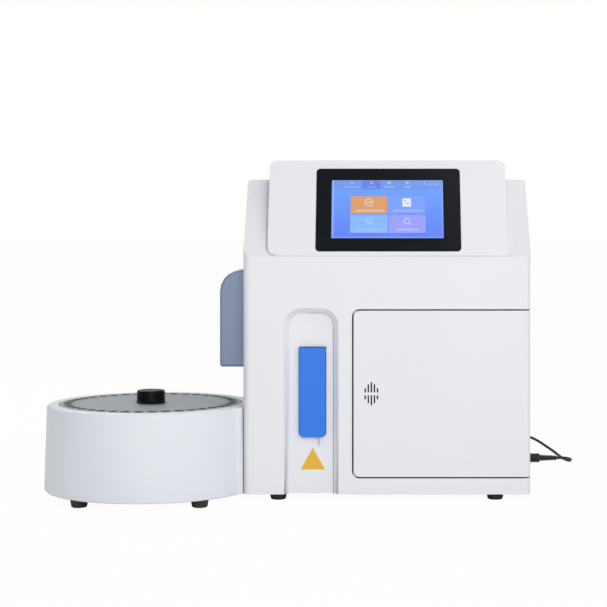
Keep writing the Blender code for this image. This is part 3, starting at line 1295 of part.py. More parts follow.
def make_cord():
    """The cord: a free run from the plug, a coil behind the cabinet, a tail and the wall adapter."""
    coil = coil_points()
    start, end = coil[0], coil[-1]
    into = (coil[1] - coil[0]).normalized()
    out = (coil[-1] - coil[-2]).normalized()
    lead = 8 * CORD_RADIUS
    relief_end = Vector((HALF_WIDTH + SEAT_GAP + PLUG_LENGTH + RELIEF_LENGTH + SEAT_GAP, JACK_DEPTH, JACK_HEIGHT))
    stops = [relief_end, relief_end + Vector((3 * CORD_RADIUS, 0, 0)), *[Vector(p) for p in CORD_ROUTE]]
    route = [*stops, start - into * lead, start - into * SEAT_GAP]
    line, run_length = smooth_route(route, 5 * CORD_RADIUS)
    line[1].yz = relief_end.yz
    finish(tube("cord_run", line, 2), "rubber")
    finish(tube("cord_coil", coil, 1), "rubber")
    face = Vector((ADAPTER_X + ADAPTER_LENGTH, BODY_DEPTH + ADAPTER_BACK, ADAPTER_HEIGHT / 2))
    tail_route = [end + out * SEAT_GAP, end + out * lead, face + Vector((lead, 0, 0)), face + Vector((SEAT_GAP, 0, 0))]
    tail, tail_length = smooth_route(tail_route, 5 * CORD_RADIUS)
    finish(tube("cord_tail", tail, 2), "rubber")
    half = ADAPTER_DEPTH / 2
    middle = face.y
    adapter = box("wall_adapter", (ADAPTER_X, middle - half, 0), (ADAPTER_X + ADAPTER_LENGTH, middle + half, ADAPTER_HEIGHT))
    soften(adapter, ADAPTER_SOFTNESS)
    for side in (-1, 1):
        y = middle + side * PRONG_SPREAD / 2
        z = ADAPTER_HEIGHT / 2
        join(adapter, box("prong", (ADAPTER_X - PRONG_LENGTH, y - PRONG_THICKNESS / 2, z - PRONG_WIDTH / 2),
                          (ADAPTER_X + OVERRUN, y + PRONG_THICKNESS / 2, z + PRONG_WIDTH / 2)))
    finish(adapter, "black")
    total = path_length(line) + path_length(coil) + path_length(tail)
    print("coil's least gap to itself: %.2f mm" % (1000 * least_gap(coil)))
    print("cord: run %.0f mm, coil %.0f mm, tail %.0f mm, in all %.0f mm of %.0f mm" % (
        1000 * path_length(line), 1000 * path_length(coil), 1000 * path_length(tail), 1000 * total,
        1000 * CORD_LENGTH))


def main():
    make_front_shell()
    make_rear_shell()
    make_base_plate()
    make_display_housing()
    make_display()
    make_flap()
    make_probe()
    make_door()
    make_hinge("door_hinge_top", 1)
    make_hinge("door_hinge_bottom", -1)
    make_liner()
    make_reagent_pack()
    make_electrodes()
    make_pump()
    make_tray_housing()
    make_turntable()
    make_tray()
    make_arm()
    make_printer()
    make_electronics()
    make_power_entry()
    make_feet()
    make_plug()
    make_cord()


main()
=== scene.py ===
"""Bench-top electrolyte analyzer: the dressed model, laid over its CAD frame."""

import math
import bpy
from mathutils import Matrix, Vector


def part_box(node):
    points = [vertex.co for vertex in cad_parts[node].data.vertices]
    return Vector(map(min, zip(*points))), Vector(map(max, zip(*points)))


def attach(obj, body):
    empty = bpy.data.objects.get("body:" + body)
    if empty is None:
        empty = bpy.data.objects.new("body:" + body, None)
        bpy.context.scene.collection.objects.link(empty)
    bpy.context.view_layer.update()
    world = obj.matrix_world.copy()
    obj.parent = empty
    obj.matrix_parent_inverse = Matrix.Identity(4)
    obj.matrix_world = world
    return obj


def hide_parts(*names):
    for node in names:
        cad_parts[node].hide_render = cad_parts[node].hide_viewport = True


bl_info = {
    "name": "Bench electrolyte analyzer",
    "version": (1, 0, 0),
    "blender": (4, 5, 0),
    "location": "View3D > Sidebar > Analyzer",
    "description": "Dresses the cabinet, display, reagent door, sample tray and cord of a bench-top analyzer",
    "category": "Add Mesh",
}

from contextlib import contextmanager

import bpy
from mathutils import Matrix, Vector

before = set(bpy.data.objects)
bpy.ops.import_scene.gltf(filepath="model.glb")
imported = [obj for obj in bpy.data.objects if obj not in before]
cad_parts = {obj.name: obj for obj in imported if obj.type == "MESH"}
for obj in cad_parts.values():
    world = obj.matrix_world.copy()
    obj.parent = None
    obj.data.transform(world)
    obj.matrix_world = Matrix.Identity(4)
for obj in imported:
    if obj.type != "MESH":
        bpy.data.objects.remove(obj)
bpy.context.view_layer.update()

# The cabinet's own frame: the middle of its front face's lower edge, on the table
shell_low, shell_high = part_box("front_shell")
ORIGIN = Vector(((shell_low.x + shell_high.x) / 2, shell_low.y, 0))
# The gap that the part's source leaves where two pieces meet
SEAT = 0.0003
# An edge whose middle is this near to a plane lies in it
NEAR = 0.0004
# Turns a cylinder's or a ring's axis along the cabinet's depth
LYING = (math.radians(90), 0, 0)


def at(x, y, z):
    """A point of the cabinet's frame, in the frame of the whole part."""
    return ORIGIN + Vector((x, y, z))


def middle(node):
    low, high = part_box(node)
    return (low + high) / 2


def local(node):
    """A node's box in the cabinet's frame."""
    low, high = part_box(node)
    return low - ORIGIN, high - ORIGIN


# Sizes and colours that a user would change


def length(name, description, default):
    return bpy.props.FloatProperty(name=name, description=description, default=default, min=0,
                                   subtype="DISTANCE", unit="LENGTH", precision=5)


def colour(name, description, default):
    return bpy.props.FloatVectorProperty(name=name, description=description, default=default, size=3, min=0,
                                         max=1, subtype="COLOR")


def amount(name, description, default, least=0):
    return bpy.props.FloatProperty(name=name, description=description, default=default, min=least)


class AnalyzerSizes(bpy.types.PropertyGroup):
    """Sizes of the dressed pieces"""

    shell_edge: length("Shell edge", "Rounding of the cabinet's seams and openings", 0.0004)
    recess_edge: length("Recess edge", "Rounding of the sample recess's rim", 0.0030)
    recess_root: length("Recess root", "Rounding where the recess's walls meet its floor", 0.0007)
    head_corner: length("Display housing corner", "Radius of the housing's lower corners, which the bead follows",
                        0.0140)
    head_edge: length("Display housing edge", "Rounding of the display housing's outer edges", 0.0016)
    door_edge: length("Door edge", "Rounding of the reagent door's edges", 0.0008)
    bezel_edge: length("Bezel edge", "Rounding of the glass bezel's edges", 0.0005)
    drum_edge: length("Drum edge", "Rounding of the tray housing's rim", 0.0008)
    flap_edge: length("Flap edge", "Rounding of the flap's edges", 0.0006)
    hole_edge: length("Tube place edge", "Rounding round each tube place", 0.0003)
    hole_width: length("Tube place", "Diameter of each tube place", 0.0136)
    arm_edge: length("Arm cover edge", "Rounding of the arm cover's front and rear edges", 0.0110)
    hole_count: bpy.props.IntProperty(name="Tube places", description="Tube places in the tray", default=40, min=1)
    cord_width: length("Cord", "Diameter of the low-voltage cord", 0.004)


class AnalyzerColours(bpy.types.PropertyGroup):
    """Colours of the finishes"""

    shell: colour("Shell", "Moulded front shell, door and display housing", (0.80, 0.81, 0.835))
    rear: colour("Rear shell", "Moulded rear shell", (0.77, 0.78, 0.81))
    drum: colour("Tray housing", "Moulded tray housing", (0.76, 0.785, 0.825))
    flap: colour("Flap", "Flap over the sample probe", (0.015, 0.180, 0.765))
    slate: colour("Arm housing", "Cover of the sampling arm", (0.196, 0.250, 0.372))
    bezel: colour("Bezel", "Black glass round the display", (0.0055, 0.0070, 0.0095))
    disc: colour("Sample disc", "Anodised disc of the tray", (0.315, 0.335, 0.345))
    rubber: colour("Rubber", "Feet, cord and plug", (0.018, 0.018, 0.020))
    pointer: colour("Pointer", "Plain mark that points up at the probe", (0.78, 0.44, 0.03))


class AnalyzerStage(bpy.types.PropertyGroup):
    """Camera and lamps"""

    eye: bpy.props.FloatVectorProperty(name="Eye", description="Where the camera stands", size=3,
                                       default=(-0.0067, -2.13905, 0.370), subtype="TRANSLATION", unit="LENGTH")
    lens: amount("Lens", "Focal length on a 36 mm sensor", 94.9, 1)
    slide: bpy.props.FloatVectorProperty(name="Shift", description="Lens shift across and up", size=2,
                                         default=(-0.129, -0.129))
    sky: amount("Sky", "Strength of the plain surroundings", 0.43)
    key: amount("Key lamp", "Power of the lamp at the right", 31)
    front: amount("Front lamp", "Power of the wide lamp behind the camera", 34)
    fill: amount("Fill lamp", "Power of the lamp at the left", 1.5)
    back: amount("Back lamp", "Power of the lamp above and behind", 24)


# Shader maths


class Field:
    """A socket whose value varies over a surface; Python's operators add its Math nodes."""

    def __init__(self, finish, socket):
        self.finish, self.socket = finish, socket

    def maths(self, operation, *values):
        return self.finish.node("ShaderNodeMath", {"operation": operation}, dict(enumerate(values)))

    def __add__(self, other):
        return self.maths("ADD", self, other)

    def __sub__(self, other):
        return self.maths("SUBTRACT", self, other)

    def __rsub__(self, other):
        return self.maths("SUBTRACT", other, self)

    def __mul__(self, other):
        return self.maths("MULTIPLY", self, other)

    def __truediv__(self, other):
        return self.maths("DIVIDE", self, other)

    def __pow__(self, other):
        return self.maths("POWER", self, other)

    def __lt__(self, other):
        return self.maths("LESS_THAN", self, other)

    def __gt__(self, other):
        return self.maths("GREATER_THAN", self, other)

    def __abs__(self):
        return self.maths("ABSOLUTE", self)

    def most(self, other):
        return self.maths("MAXIMUM", self, other)

    def least(self, other):
        return self.maths("MINIMUM", self, other)

    def wave(self):
        return self.maths("SINE", self)

    def repeat(self, period):
        return self.maths("FLOORED_MODULO", self, period)

    def clear(self):
        """Held between 0 and 1."""
        return self.most(0).least(1)

    __radd__ = __add__
    __rmul__ = __mul__


class Finish:
    """The nodes of one of the analyzer's materials, or of the world."""

    def __init__(self, name, home="materials"):
        self.owner = getattr(bpy.data, home).new(name)
        self.owner.use_nodes = True
        self.tree = self.owner.node_tree
        self.tree.nodes.clear()

    def node(self, kind, settings=None, values=None, output=0):
        """Add a node: its settings first, then the values or links of its sockets."""
        made = self.tree.nodes.new(kind)
        for key, value in (settings or {}).items():
            setattr(made, key, value)
        for key, value in (values or {}).items():
            socket = made.inputs[key]
            if isinstance(value, Field):
                self.tree.links.new(value.socket, socket)
            elif isinstance(value, tuple) and len(value) == 3 and len(socket.default_value) == 4:
                socket.default_value = (*value, 1)
            else:
                socket.default_value = value
        return Field(self, made.outputs[output])

    def close(self, shader, kind="ShaderNodeOutputMaterial"):
        """Link a shader to an output, and give back the material or world."""
        self.tree.links.new(shader.socket, self.tree.nodes.new(kind).inputs["Surface"])
        return self.owner

    def spot(self):
        return self.node("ShaderNodeTexCoord", output="Object")

    def parts(self, vector):
        split = self.node("ShaderNodeSeparateXYZ", values={0: vector})
        outputs = split.socket.node.outputs
        return tuple(Field(self, outputs[index]) for index in range(3))

    def join(self, x, y, z=0.0):
        return self.node("ShaderNodeCombineXYZ", values={0: x, 1: y, 2: z})

    def stretch(self, vector, scale):
        return self.node("ShaderNodeVectorMath", {"operation": "MULTIPLY"}, {0: vector, 1: scale})

    def speckle(self, vector, scale, detail=2.0, rough=0.5):
        return self.node("ShaderNodeTexNoise", values={"Vector": vector, "Scale": scale, "Detail": detail,
                                                       "Roughness": rough})

    def tint(self, factor, first, second, mode="MIX"):
        return self.node("ShaderNodeMix", {"data_type": "RGBA", "blend_type": mode},
                         {0: factor, 6: first, 7: second}, output=2)

    def bump(self, height, strength, distance):
        return self.node("ShaderNodeBump", values={"Height": height, "Strength": strength, "Distance": distance})

    def surface(self, **values):
        """Close the material with a Principled surface; underscores in the names stand for spaces."""
        named = {key.replace("_", " "): value for key, value in values.items()}
        return self.close(self.node("ShaderNodeBsdfPrincipled", values=named))


def shade(tone, share):
    return tuple(min(1, channel * share) for channel in tone)


def moulded(name, tone, rough=0.42, grain=0.10, mottle=0.025, sheen=0.06, shine=0.45):
    """Moulded plastic: a spark-eroded grain, a faint cloudiness and a few rubbed places."""
    finish = Finish(name)
    spot = finish.spot()
    cloud = finish.speckle(spot, 7, 3)
    grit = finish.speckle(spot, 1900, 2)
    rubbed = (finish.speckle(finish.stretch(spot, (40, 40, 13)), 1.0, 4, 0.65) - 0.56).most(0) * 2
    base = finish.tint(cloud, shade(tone, 1 - mottle), shade(tone, 1 + mottle))
    return finish.surface(Base_Color=base, Roughness=(cloud - 0.5) * sheen + rough + rubbed * 0.1,
                          Normal=finish.bump(grit, grain, 0.0002), Specular_IOR_Level=shine)


def glossy(name, tone, rough=0.10, shine=0.5):
    """Painted glass or polished plastic with faint wiping marks."""
    finish = Finish(name)
    spot = finish.spot()
    wiped = finish.speckle(finish.stretch(spot, (9, 60, 60)), 1.0, 5, 0.6)
    return finish.surface(Base_Color=finish.tint(wiped, tone, shade(tone, 1.15)), Roughness=wiped * 0.10 + rough,
                          Specular_IOR_Level=shine)


def rubbery(name, tone, rough=0.62):
    """Dull rubber with a dusty bloom."""
    finish = Finish(name)
    spot = finish.spot()
    dust = finish.speckle(spot, 60, 4, 0.6)
    grit = finish.speckle(spot, 1400, 2)
    base = finish.tint((dust - 0.45).clear() * 0.5, tone, (0.085, 0.085, 0.09))
    return finish.surface(Base_Color=base, Roughness=dust * 0.15 + rough, Normal=finish.bump(grit, 0.15, 0.0002))


def brushed(name, tone, rough=0.30, along=(400, 12, 400)):
    """Drawn or brushed metal with fine lines along one axis."""
    finish = Finish(name)
    lines = finish.speckle(finish.stretch(finish.spot(), along), 1.0, 3, 0.6)
    return finish.surface(Base_Color=finish.tint(lines, shade(tone, 0.88), shade(tone, 1.08)), Metallic=1.0,
                          Roughness=lines * 0.16 + rough, Normal=finish.bump(lines, 0.12, 0.0001))


def turned_metal(name, tone, centre, rough=0.34):
    """An anodised disc with the rings of its turning, and scuffs from tubes."""
    finish = Finish(name)
    spot = finish.spot()
    x, y, z = finish.parts(spot)
    ring = ((x - centre.x) ** 2 + (y - centre.y) ** 2) ** 0.5
    lines = finish.speckle(finish.join(ring, 0.0, z), 2600, 2)
    cloud = finish.speckle(spot, 16, 3)
    scuff = (finish.speckle(finish.stretch(spot, (70, 260, 70)), 1.0, 5, 0.7) - 0.6).most(0) * 3
    base = finish.tint(cloud, shade(tone, 0.92), shade(tone, 1.08))
    base = finish.tint(scuff.clear() * 0.5, base, shade(tone, 1.35))
    return finish.surface(Base_Color=base, Metallic=0.75, Roughness=lines * 0.14 + rough,
                          Normal=finish.bump(lines, 0.10, 0.0001))


def carded(name):
    """A reagent pack's sleeve: bright coated board with plain bands of colour and a fine fibre."""
    finish = Finish(name)
    spot = finish.spot()
    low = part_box("reagent_pack")[0]
    x, _, z = finish.parts(spot)
    fibre = finish.speckle(finish.stretch(spot, (900, 900, 300)), 1.0, 3)
    band = abs(z - (low.z + 0.118)) < 0.030
    thin = abs(z - (low.z + 0.080)) < 0.0022
    corner = (abs(x - (low.x + 0.020)) < 0.009) * (abs(z - (low.z + 0.036)) < 0.009)
    base = finish.tint(fibre, (0.74, 0.75, 0.76), (0.80, 0.81, 0.82))
    base = finish.tint(band, base, (0.05, 0.23, 0.55))
    base = finish.tint(thin.most(corner), base, (0.10, 0.52, 0.60))
    return finish.surface(Base_Color=base, Roughness=fibre * 0.1 + 0.38, Normal=finish.bump(fibre, 0.06, 0.0002))


def circuit(name):
    """A circuit board: green lacquer over tracks and rows of pads."""
    finish = Finish(name)
    x, y, _ = finish.parts(finish.spot())
    bend = finish.speckle(finish.join(x, y), 45, 0) * 0.012
    across = abs((x + bend).repeat(0.0050) - 0.0025) < 0.0007
    along = abs((y - bend).repeat(0.0065) - 0.0032) < 0.0006
    pads = (abs(x.repeat(0.0100) - 0.005) < 0.0012) * (abs(y.repeat(0.0100) - 0.005) < 0.0012)
    base = finish.tint(across.most(along) * 0.7, (0.010, 0.115, 0.045), (0.025, 0.230, 0.095))
    base = finish.tint(pads, base, (0.62, 0.56, 0.36))
    return finish.surface(Base_Color=base, Metallic=pads * 0.8, Roughness=0.35,
                          Normal=finish.bump(across.most(along), 0.3, 0.00005))


def papery(name, centre):
    """A roll of paper: soft fibre outside, the winding's lines on its ends."""
    finish = Finish(name)
    spot = finish.spot()
    x, y, z = finish.parts(spot)
    ring = ((y - centre.y) ** 2 + (z - centre.z) ** 2) ** 0.5
    wound = finish.speckle(finish.join(ring, x * 0.02), 5200, 2)
    fibre = finish.speckle(spot, 500, 3)
    return finish.surface(Base_Color=finish.tint(wound, (0.74, 0.74, 0.72), (0.88, 0.88, 0.86)),
                          Roughness=fibre * 0.1 + 0.72, Normal=finish.bump(wound, 0.15, 0.0001))


def lit_display(name, centre, tilt, width=0.1503, height=0.0845):
    """The lit panel: a header with small marks, and four coloured tiles with generic signs."""
    finish = Finish(name)
    x, y, z = finish.parts(finish.spot())
    across = (x - centre.x) / width + 0.5
    up = ((y - centre.y) * math.sin(tilt) + (z - centre.z) * math.cos(tilt)) / height + 0.5
    ratio = width / height

    def bar(cx, cy, wide, tall):
        return (abs(across - cx) < wide / 2) * (abs(up - cy) < tall / 2)

    def ring(cx, cy, outer, inner):
        away = (((across - cx) * ratio) ** 2 + (up - cy) ** 2) ** 0.5
        return (away < outer) * (away > inner)

    cloud = finish.speckle(finish.join(across, up), 3, 2)
    base = finish.tint((up + (cloud - 0.5) * 0.5).clear(), (0.118, 0.225, 0.925), (0.160, 0.375, 0.975))
    base = finish.tint(bar(0.5, 0.93, 1.2, 0.15), base, (0.168, 0.312, 0.835))
    base = finish.tint(bar(0.356, 0.93, 0.165, 0.15), base, (0.130, 0.222, 0.790))
    base = finish.tint(bar(0.5, 0.851, 1.2, 0.010) * 0.35, base, (0.080, 0.170, 0.640))
    edges = 1 - bar(0.506, 0.506, 0.975, 0.975)
    base = finish.tint(edges * 0.30, base, (0.55, 0.66, 1.0))
    left, right, top, low, wide, tall = 0.3335, 0.6735, 0.5735, 0.2480, 0.330, 0.305
    base = finish.tint(bar(left, top, wide, tall), base, (0.715, 0.345, 0.125))
    base = finish.tint(bar(right, top, wide, tall), base, (0.200, 0.355, 0.965))
    base = finish.tint(bar(left, low, wide, tall), base, (0.245, 0.480, 0.965))
    base = finish.tint(bar(right, low, wide, tall), base, (0.320, 0.350, 0.945))
    light = bar(left, low, wide, tall) - bar(left, low + 0.006, wide - 0.008, tall)
    light = light.clear() + (bar(right, low, wide, tall) - bar(right - 0.004, low + 0.006, wide, tall)).clear()
    base = finish.tint(light.clear() * 0.35, base, (0.80, 0.88, 1.0))
    marks = ring(left, top + 0.045, 0.070, 0.056).most(bar(left, top + 0.045, 0.045, 0.020)) * 0.60
    page = bar(right, top + 0.042, 0.078, 0.145)
    page = page - bar(right - 0.012, top + 0.070, 0.022, 0.018) - bar(right + 0.010, top + 0.022, 0.030, 0.018)
    sieve = bar(left, low + 0.045, 0.072, 0.125) * (((across * 44).repeat(1) > 0.3) * ((up * 26).repeat(1) > 0.3))
    glass = ring(right, low + 0.045, 0.052, 0.038).most(bar(right + 0.030, low - 0.008, 0.016, 0.016))
    marks = marks.most(page.clear() * 0.88).most(sieve * 0.22).most(glass * 0.50)
    dashes = (across * 53 + (across * 19).wave() * 0.5).repeat(1) > 0.32
    for place, rise, long, strong in ((left, top, 0.27, 0.42), (right, top, 0.27, 0.28), (left, low, 0.24, 0.20),
                                      (right, low, 0.19, 0.36)):
        marks = marks.most(bar(place + 0.01, rise - 0.100, long, 0.034) * dashes * strong)
    for place, long, strong in ((0.18, 0.14, 0.22), (0.356, 0.080, 0.26), (0.515, 0.095, 0.36),
                                (0.68, 0.060, 0.34)):
        marks = marks.most(bar(place, 0.960, 0.028, 0.045) * strong)
        marks = marks.most(bar(place, 0.888, long, 0.026) * dashes * strong)
    marks = marks.most(bar(0.915, 0.935, 0.095, 0.024) * dashes * 0.30)
    marks = marks.most(bar(0.838, 0.955, 0.006, 0.050) * 0.5)
    base = finish.tint(marks, base, (0.86, 0.90, 1.0))
    pixel_rows, dimmed = 480, 0.03
    rows = ((up * pixel_rows).repeat(1) > 0.12) * dimmed + (1 - dimmed)
    lit = finish.tint(1 - rows, base, (0.0, 0.0, 0.0))
    return finish.surface(Base_Color=(0.010, 0.012, 0.020), Roughness=0.12, Emission_Color=lit,
                          Emission_Strength=1.0, Specular_IOR_Level=0.35)


finishes = {}


def mix_finishes(colours):
    """Every finish on the analyzer, by a plain name."""
    finishes.update({
        "shell": moulded("satin_shell", tuple(colours.shell)),
        "rear": moulded("satin_rear_shell", tuple(colours.rear), 0.46, 0.16),
        "drum": moulded("satin_tray_housing", tuple(colours.drum), 0.38, 0.08),
        "flap": moulded("blue_flap", tuple(colours.flap), 0.36, 0.08, 0.03),
        "slate": moulded("slate_arm_cover", tuple(colours.slate), 0.26, 0.06, 0.05, 0.06, 0.7),
        "pale": moulded("pale_plastic", (0.66, 0.67, 0.68), 0.5, 0.12),
        # Grey for the left housing bead: painted shade; the right bead of the same kind keeps the shell's white
        "bead": moulded("shade_grey_bead_plastic", (0.55, 0.56, 0.59), 0.5, 0.12),
        "grey": moulded("grey_plastic", (0.20, 0.21, 0.22), 0.5, 0.16),
        "black": glossy("black_plastic", (0.016, 0.016, 0.018), 0.28),
        "bezel": glossy("black_glass", tuple(colours.bezel), 0.10, 0.14),
        "rubber": rubbery("black_rubber", tuple(colours.rubber)),
        "knob": moulded("knob_black", (0.0030, 0.0030, 0.0042), 0.22, 0.04, 0.10, 0.06, 0.12),
        "disc": turned_metal("anodised_disc", tuple(colours.disc), middle("tray_knob")),
        "steel": brushed("ground_steel", (0.62, 0.62, 0.61), 0.26),
        "zinc": brushed("zinc_sheet", (0.50, 0.51, 0.52), 0.42, (60, 60, 60)),
        "board": circuit("green_board"),
        "paper": papery("thermal_paper", middle("paper_roll")),
        "pack": carded("reagent_sleeve"),
        "pointer": moulded("amber_mark", tuple(colours.pointer), 0.34, 0.04, 0.04),
        "cloth": rubbery("grille_cloth", (0.012, 0.012, 0.013), 0.8),
        "seal": rubbery("door_seal", (0.006, 0.006, 0.007), 0.8),
        "clear": moulded("clear_plastic", (0.66, 0.72, 0.76), 0.16, 0.02, 0.03),
    })


# Making pieces


def only(piece):
    """Make one object the only one that is selected, and the active one."""
    if bpy.context.mode != "OBJECT":
        bpy.ops.object.mode_set(mode="OBJECT")
    bpy.ops.object.select_all(action="DESELECT")
    piece.select_set(True)
    bpy.context.view_layer.objects.active = piece
    return piece


def start(kind, name, **settings):
    """Add a primitive with nothing else selected, and name it."""
    if bpy.context.mode != "OBJECT":
        bpy.ops.object.mode_set(mode="OBJECT")
    bpy.ops.object.select_all(action="DESELECT")
    getattr(bpy.ops.mesh, "primitive_%s_add" % kind)(**settings)
    piece = bpy.context.active_object
    piece.name = piece.data.name = name
    return piece


@contextmanager
def shaping(piece, kind="FACE", chosen="ALL"):
    """Edit a piece, with all of it selected or only what its vertices, edges or faces already are."""
    only(piece)
    bpy.context.tool_settings.mesh_select_mode = (kind == "VERT", kind == "EDGE", kind == "FACE")
    bpy.ops.object.mode_set(mode="EDIT")
    if chosen == "ALL":
        bpy.ops.mesh.select_all(action="SELECT")
    elif chosen == "NONE":
        bpy.ops.mesh.select_all(action="DESELECT")
    yield piece
    bpy.ops.object.mode_set(mode="OBJECT")


def unpick(mesh):
    for group in (mesh.vertices, mesh.edges, mesh.polygons):
        group.foreach_set("select", [False] * len(group))


def pick_faces(piece, test):
    """Select the faces whose centre and normal pass a test."""
    only(piece)
    unpick(piece.data)
    for face in piece.data.polygons:
        face.select = test(face.center, face.normal)
    return piece


def cleaned(piece):
    with shaping(piece, "VERT"):
        bpy.ops.mesh.remove_doubles(threshold=0.00001)
        bpy.ops.mesh.dissolve_limited(angle_limit=math.radians(0.4))
    return piece


def take(node, name):
    """A copy of a CAD node's mesh, merged, with its flat faces made whole."""
    piece = bpy.data.objects.new(name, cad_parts[node].data.copy())
    piece.data.name = name
    bpy.context.scene.collection.objects.link(piece)
    piece.data.materials.clear()
    return cleaned(piece)


def soften(piece, width, segments=2, sharp=60, where=None):
    """Round a piece's sharp edges, or those of them whose middle passes a test."""
    with shaping(piece, "EDGE", "NONE"):
        bpy.ops.mesh.edges_select_sharp(sharpness=math.radians(sharp))
    mesh = piece.data

    def wanted(edge):
        first, last = (mesh.vertices[index].co for index in edge.vertices)
        return edge.select and (not where or where((first + last) / 2 - ORIGIN))

    chosen = [edge.index for edge in mesh.edges if wanted(edge)]
    if not chosen:
        raise RuntimeError(piece.name + " has no such edge to round")
    unpick(mesh)
    for index in chosen:
        mesh.edges[index].select = True
    with shaping(piece, "EDGE", "KEEP"):
        bpy.ops.mesh.bevel(offset=width, offset_type="OFFSET", segments=segments, profile=0.5, affect="EDGES",
                           clamp_overlap=True)
    return piece


def sunk(piece, facing, least, rim, depth):
    """Leave a rim on the faces that look one way, and sink what is inside it."""
    facing = Vector(facing)
    with shaping(pick_faces(piece, lambda centre, normal: normal.dot(facing) > least), "FACE", "KEEP"):
        bpy.ops.mesh.inset(thickness=rim)
        bpy.ops.transform.translate(value=facing * -depth)
    return piece


def ringed(piece, count, centre, axis=(0, 0, 1), whole=360):
    """Repeat a piece's mesh round an axis, evenly over a turn or a part of one."""
    with shaping(piece):
        bpy.ops.mesh.spin(dupli=True, steps=count - 1, angle=math.radians(whole * (count - 1) / count),
                          center=centre, axis=axis)
    return piece


def smoothed(piece, angle=35):
    """Smooth shading that keeps flat faces flat."""
    only(piece)
    bpy.ops.object.shade_smooth_by_angle(angle=math.radians(angle))
    modifier = piece.modifiers.new("weighted", "WEIGHTED_NORMAL")
    modifier.keep_sharp = True
    modifier.weight = 60
    bpy.ops.object.modifier_apply(modifier=modifier.name)
    return piece


def lathe(name, profile, centre, steps=64, axis=(0, 0, 1)):
    """Turn a profile of (radius, height) points about an axis through a centre."""
    piece = start("plane", name, size=0.001, location=(0, 0, 0))
    with shaping(piece, "VERT"):
        bpy.ops.mesh.merge(type="CENTER")
        last = Vector((0, 0, 0))
        for index, (radius, height) in enumerate(profile):
            point = Vector((radius, 0, height))
            if index:
                bpy.ops.mesh.extrude_region_move(TRANSFORM_OT_translate={"value": point - last})
            else:
                bpy.ops.transform.translate(value=point)
            last = point
        bpy.ops.mesh.select_all(action="SELECT")
        bpy.ops.mesh.spin(steps=steps, angle=2 * math.pi, center=(0, 0, 0), axis=(0, 0, 1))
        bpy.ops.mesh.select_all(action="SELECT")
        bpy.ops.mesh.remove_doubles(threshold=0.000005)
        bpy.ops.mesh.normals_make_consistent(inside=False)
    turn = Vector((0, 0, 1)).rotation_difference(Vector(axis)).to_matrix().to_4x4()
    piece.matrix_world = Matrix.Translation(centre) @ turn
    return settled(piece)


def settled(piece):
    """Put a piece's place into its mesh, and its object at the origin."""
    only(piece)
    bpy.ops.object.transform_apply(location=True, rotation=True, scale=True)
    return piece


def arc(centre, radius, first, last, steps=4):
    """Points of a rounded corner in a profile, by its angles in degrees."""
    return [(centre[0] + radius * math.cos(math.radians(first + (last - first) * step / steps)),
             centre[1] + radius * math.sin(math.radians(first + (last - first) * step / steps)))
            for step in range(steps + 1)]


def copied(piece, name, shift):
    """A copy of a piece with its own mesh, moved."""
    other = piece.copy()
    other.data = piece.data.copy()
    other.name = other.data.name = name
    bpy.context.scene.collection.objects.link(other)
    other.location = shift
    return settled(other)


def joined(first, *others):
    only(first)
    for other in others:
        other.select_set(True)
    bpy.ops.object.join()
    return first


def arrayed(piece, count, shift):
    """Repeat a piece within its own mesh."""
    only(piece)
    modifier = piece.modifiers.new("row", "ARRAY")
    modifier.count = count
    modifier.use_relative_offset, modifier.use_constant_offset = False, True
    modifier.constant_offset_displace = shift
    bpy.ops.object.modifier_apply(modifier=modifier.name)
    return piece


def block(name, low, high, edge=0.001, segments=2):
    """A cube at its size and place in the cabinet's frame, with rounded edges."""
    low, high = Vector(low), Vector(high)
    piece = start("cube", name, size=1, location=at(*((low + high) / 2)), scale=high - low)
    settled(piece)
    if edge:
        with shaping(piece, "EDGE"):
            bpy.ops.mesh.bevel(offset=edge, segments=segments, affect="EDGES")
    return piece


def lying_rod(name, place, radius, depth, sides=64):
    """A cylinder along the cabinet's depth."""
    return settled(start("cylinder", name, vertices=sides, radius=radius, depth=depth, location=place,
                         rotation=LYING))


def ring_of_wire(name, centre, reach, radius):
    """A closed ring of wire, standing in the rear wall's plane."""
    return settled(start("torus", name, major_radius=reach, minor_radius=radius, major_segments=64,
                         minor_segments=10, location=centre, rotation=LYING))


def turned_screw(name, place, axis):
    """A low round screw head with a six-sided socket."""
    head = lathe(name, [(0, -0.0010), (0.0028, -0.0010), (0.0028, 0.0002), (0.0026, 0.0006), (0.0020, 0.0010),
                        (0, 0.0011)], place, 28, axis)
    turn = Vector((0, 0, 1)).rotation_difference(Vector(axis)).to_euler()
    socket = start("cylinder", "socket", vertices=6, radius=0.0012, depth=0.0014,
                   location=place + Vector(axis) * 0.0010, rotation=turn)
    return smoothed(cut_away(head, settled(socket)))


def round_line(name, points, radius, round_steps, long_steps):
    """A round curve through points, with closed ends."""
    curve = bpy.data.curves.new(name, "CURVE")
    curve.dimensions, curve.bevel_depth, curve.use_fill_caps = "3D", radius, True
    curve.bevel_resolution, curve.resolution_u = round_steps, long_steps
    spline = curve.splines.new("BEZIER")
    spline.bezier_points.add(len(points) - 1)
    for place, point in zip(spline.bezier_points, points):
        place.co = point
        place.handle_left_type = place.handle_right_type = "AUTO"
    piece = bpy.data.objects.new(name, curve)
    bpy.context.scene.collection.objects.link(piece)
    return piece


def pipe(name, points, radius, slot="acrylic", finish="clear"):
    """A bent tube or bead through points of the cabinet's frame."""
    only(round_line(name, [at(*point) for point in points], radius, 3, 6))
    bpy.ops.object.convert(target="MESH")
    return hand_over(smoothed(bpy.context.active_object), "cabinet", slot, finish)


def cut_away(piece, cutter):
    """Take a cutter's shape out of a piece."""
    only(piece)
    modifier = piece.modifiers.new("cut", "BOOLEAN")
    modifier.operation, modifier.object, modifier.solver = "DIFFERENCE", cutter, "EXACT"
    bpy.ops.object.modifier_apply(modifier=modifier.name)
    bpy.data.objects.remove(cutter, do_unlink=True)
    return piece


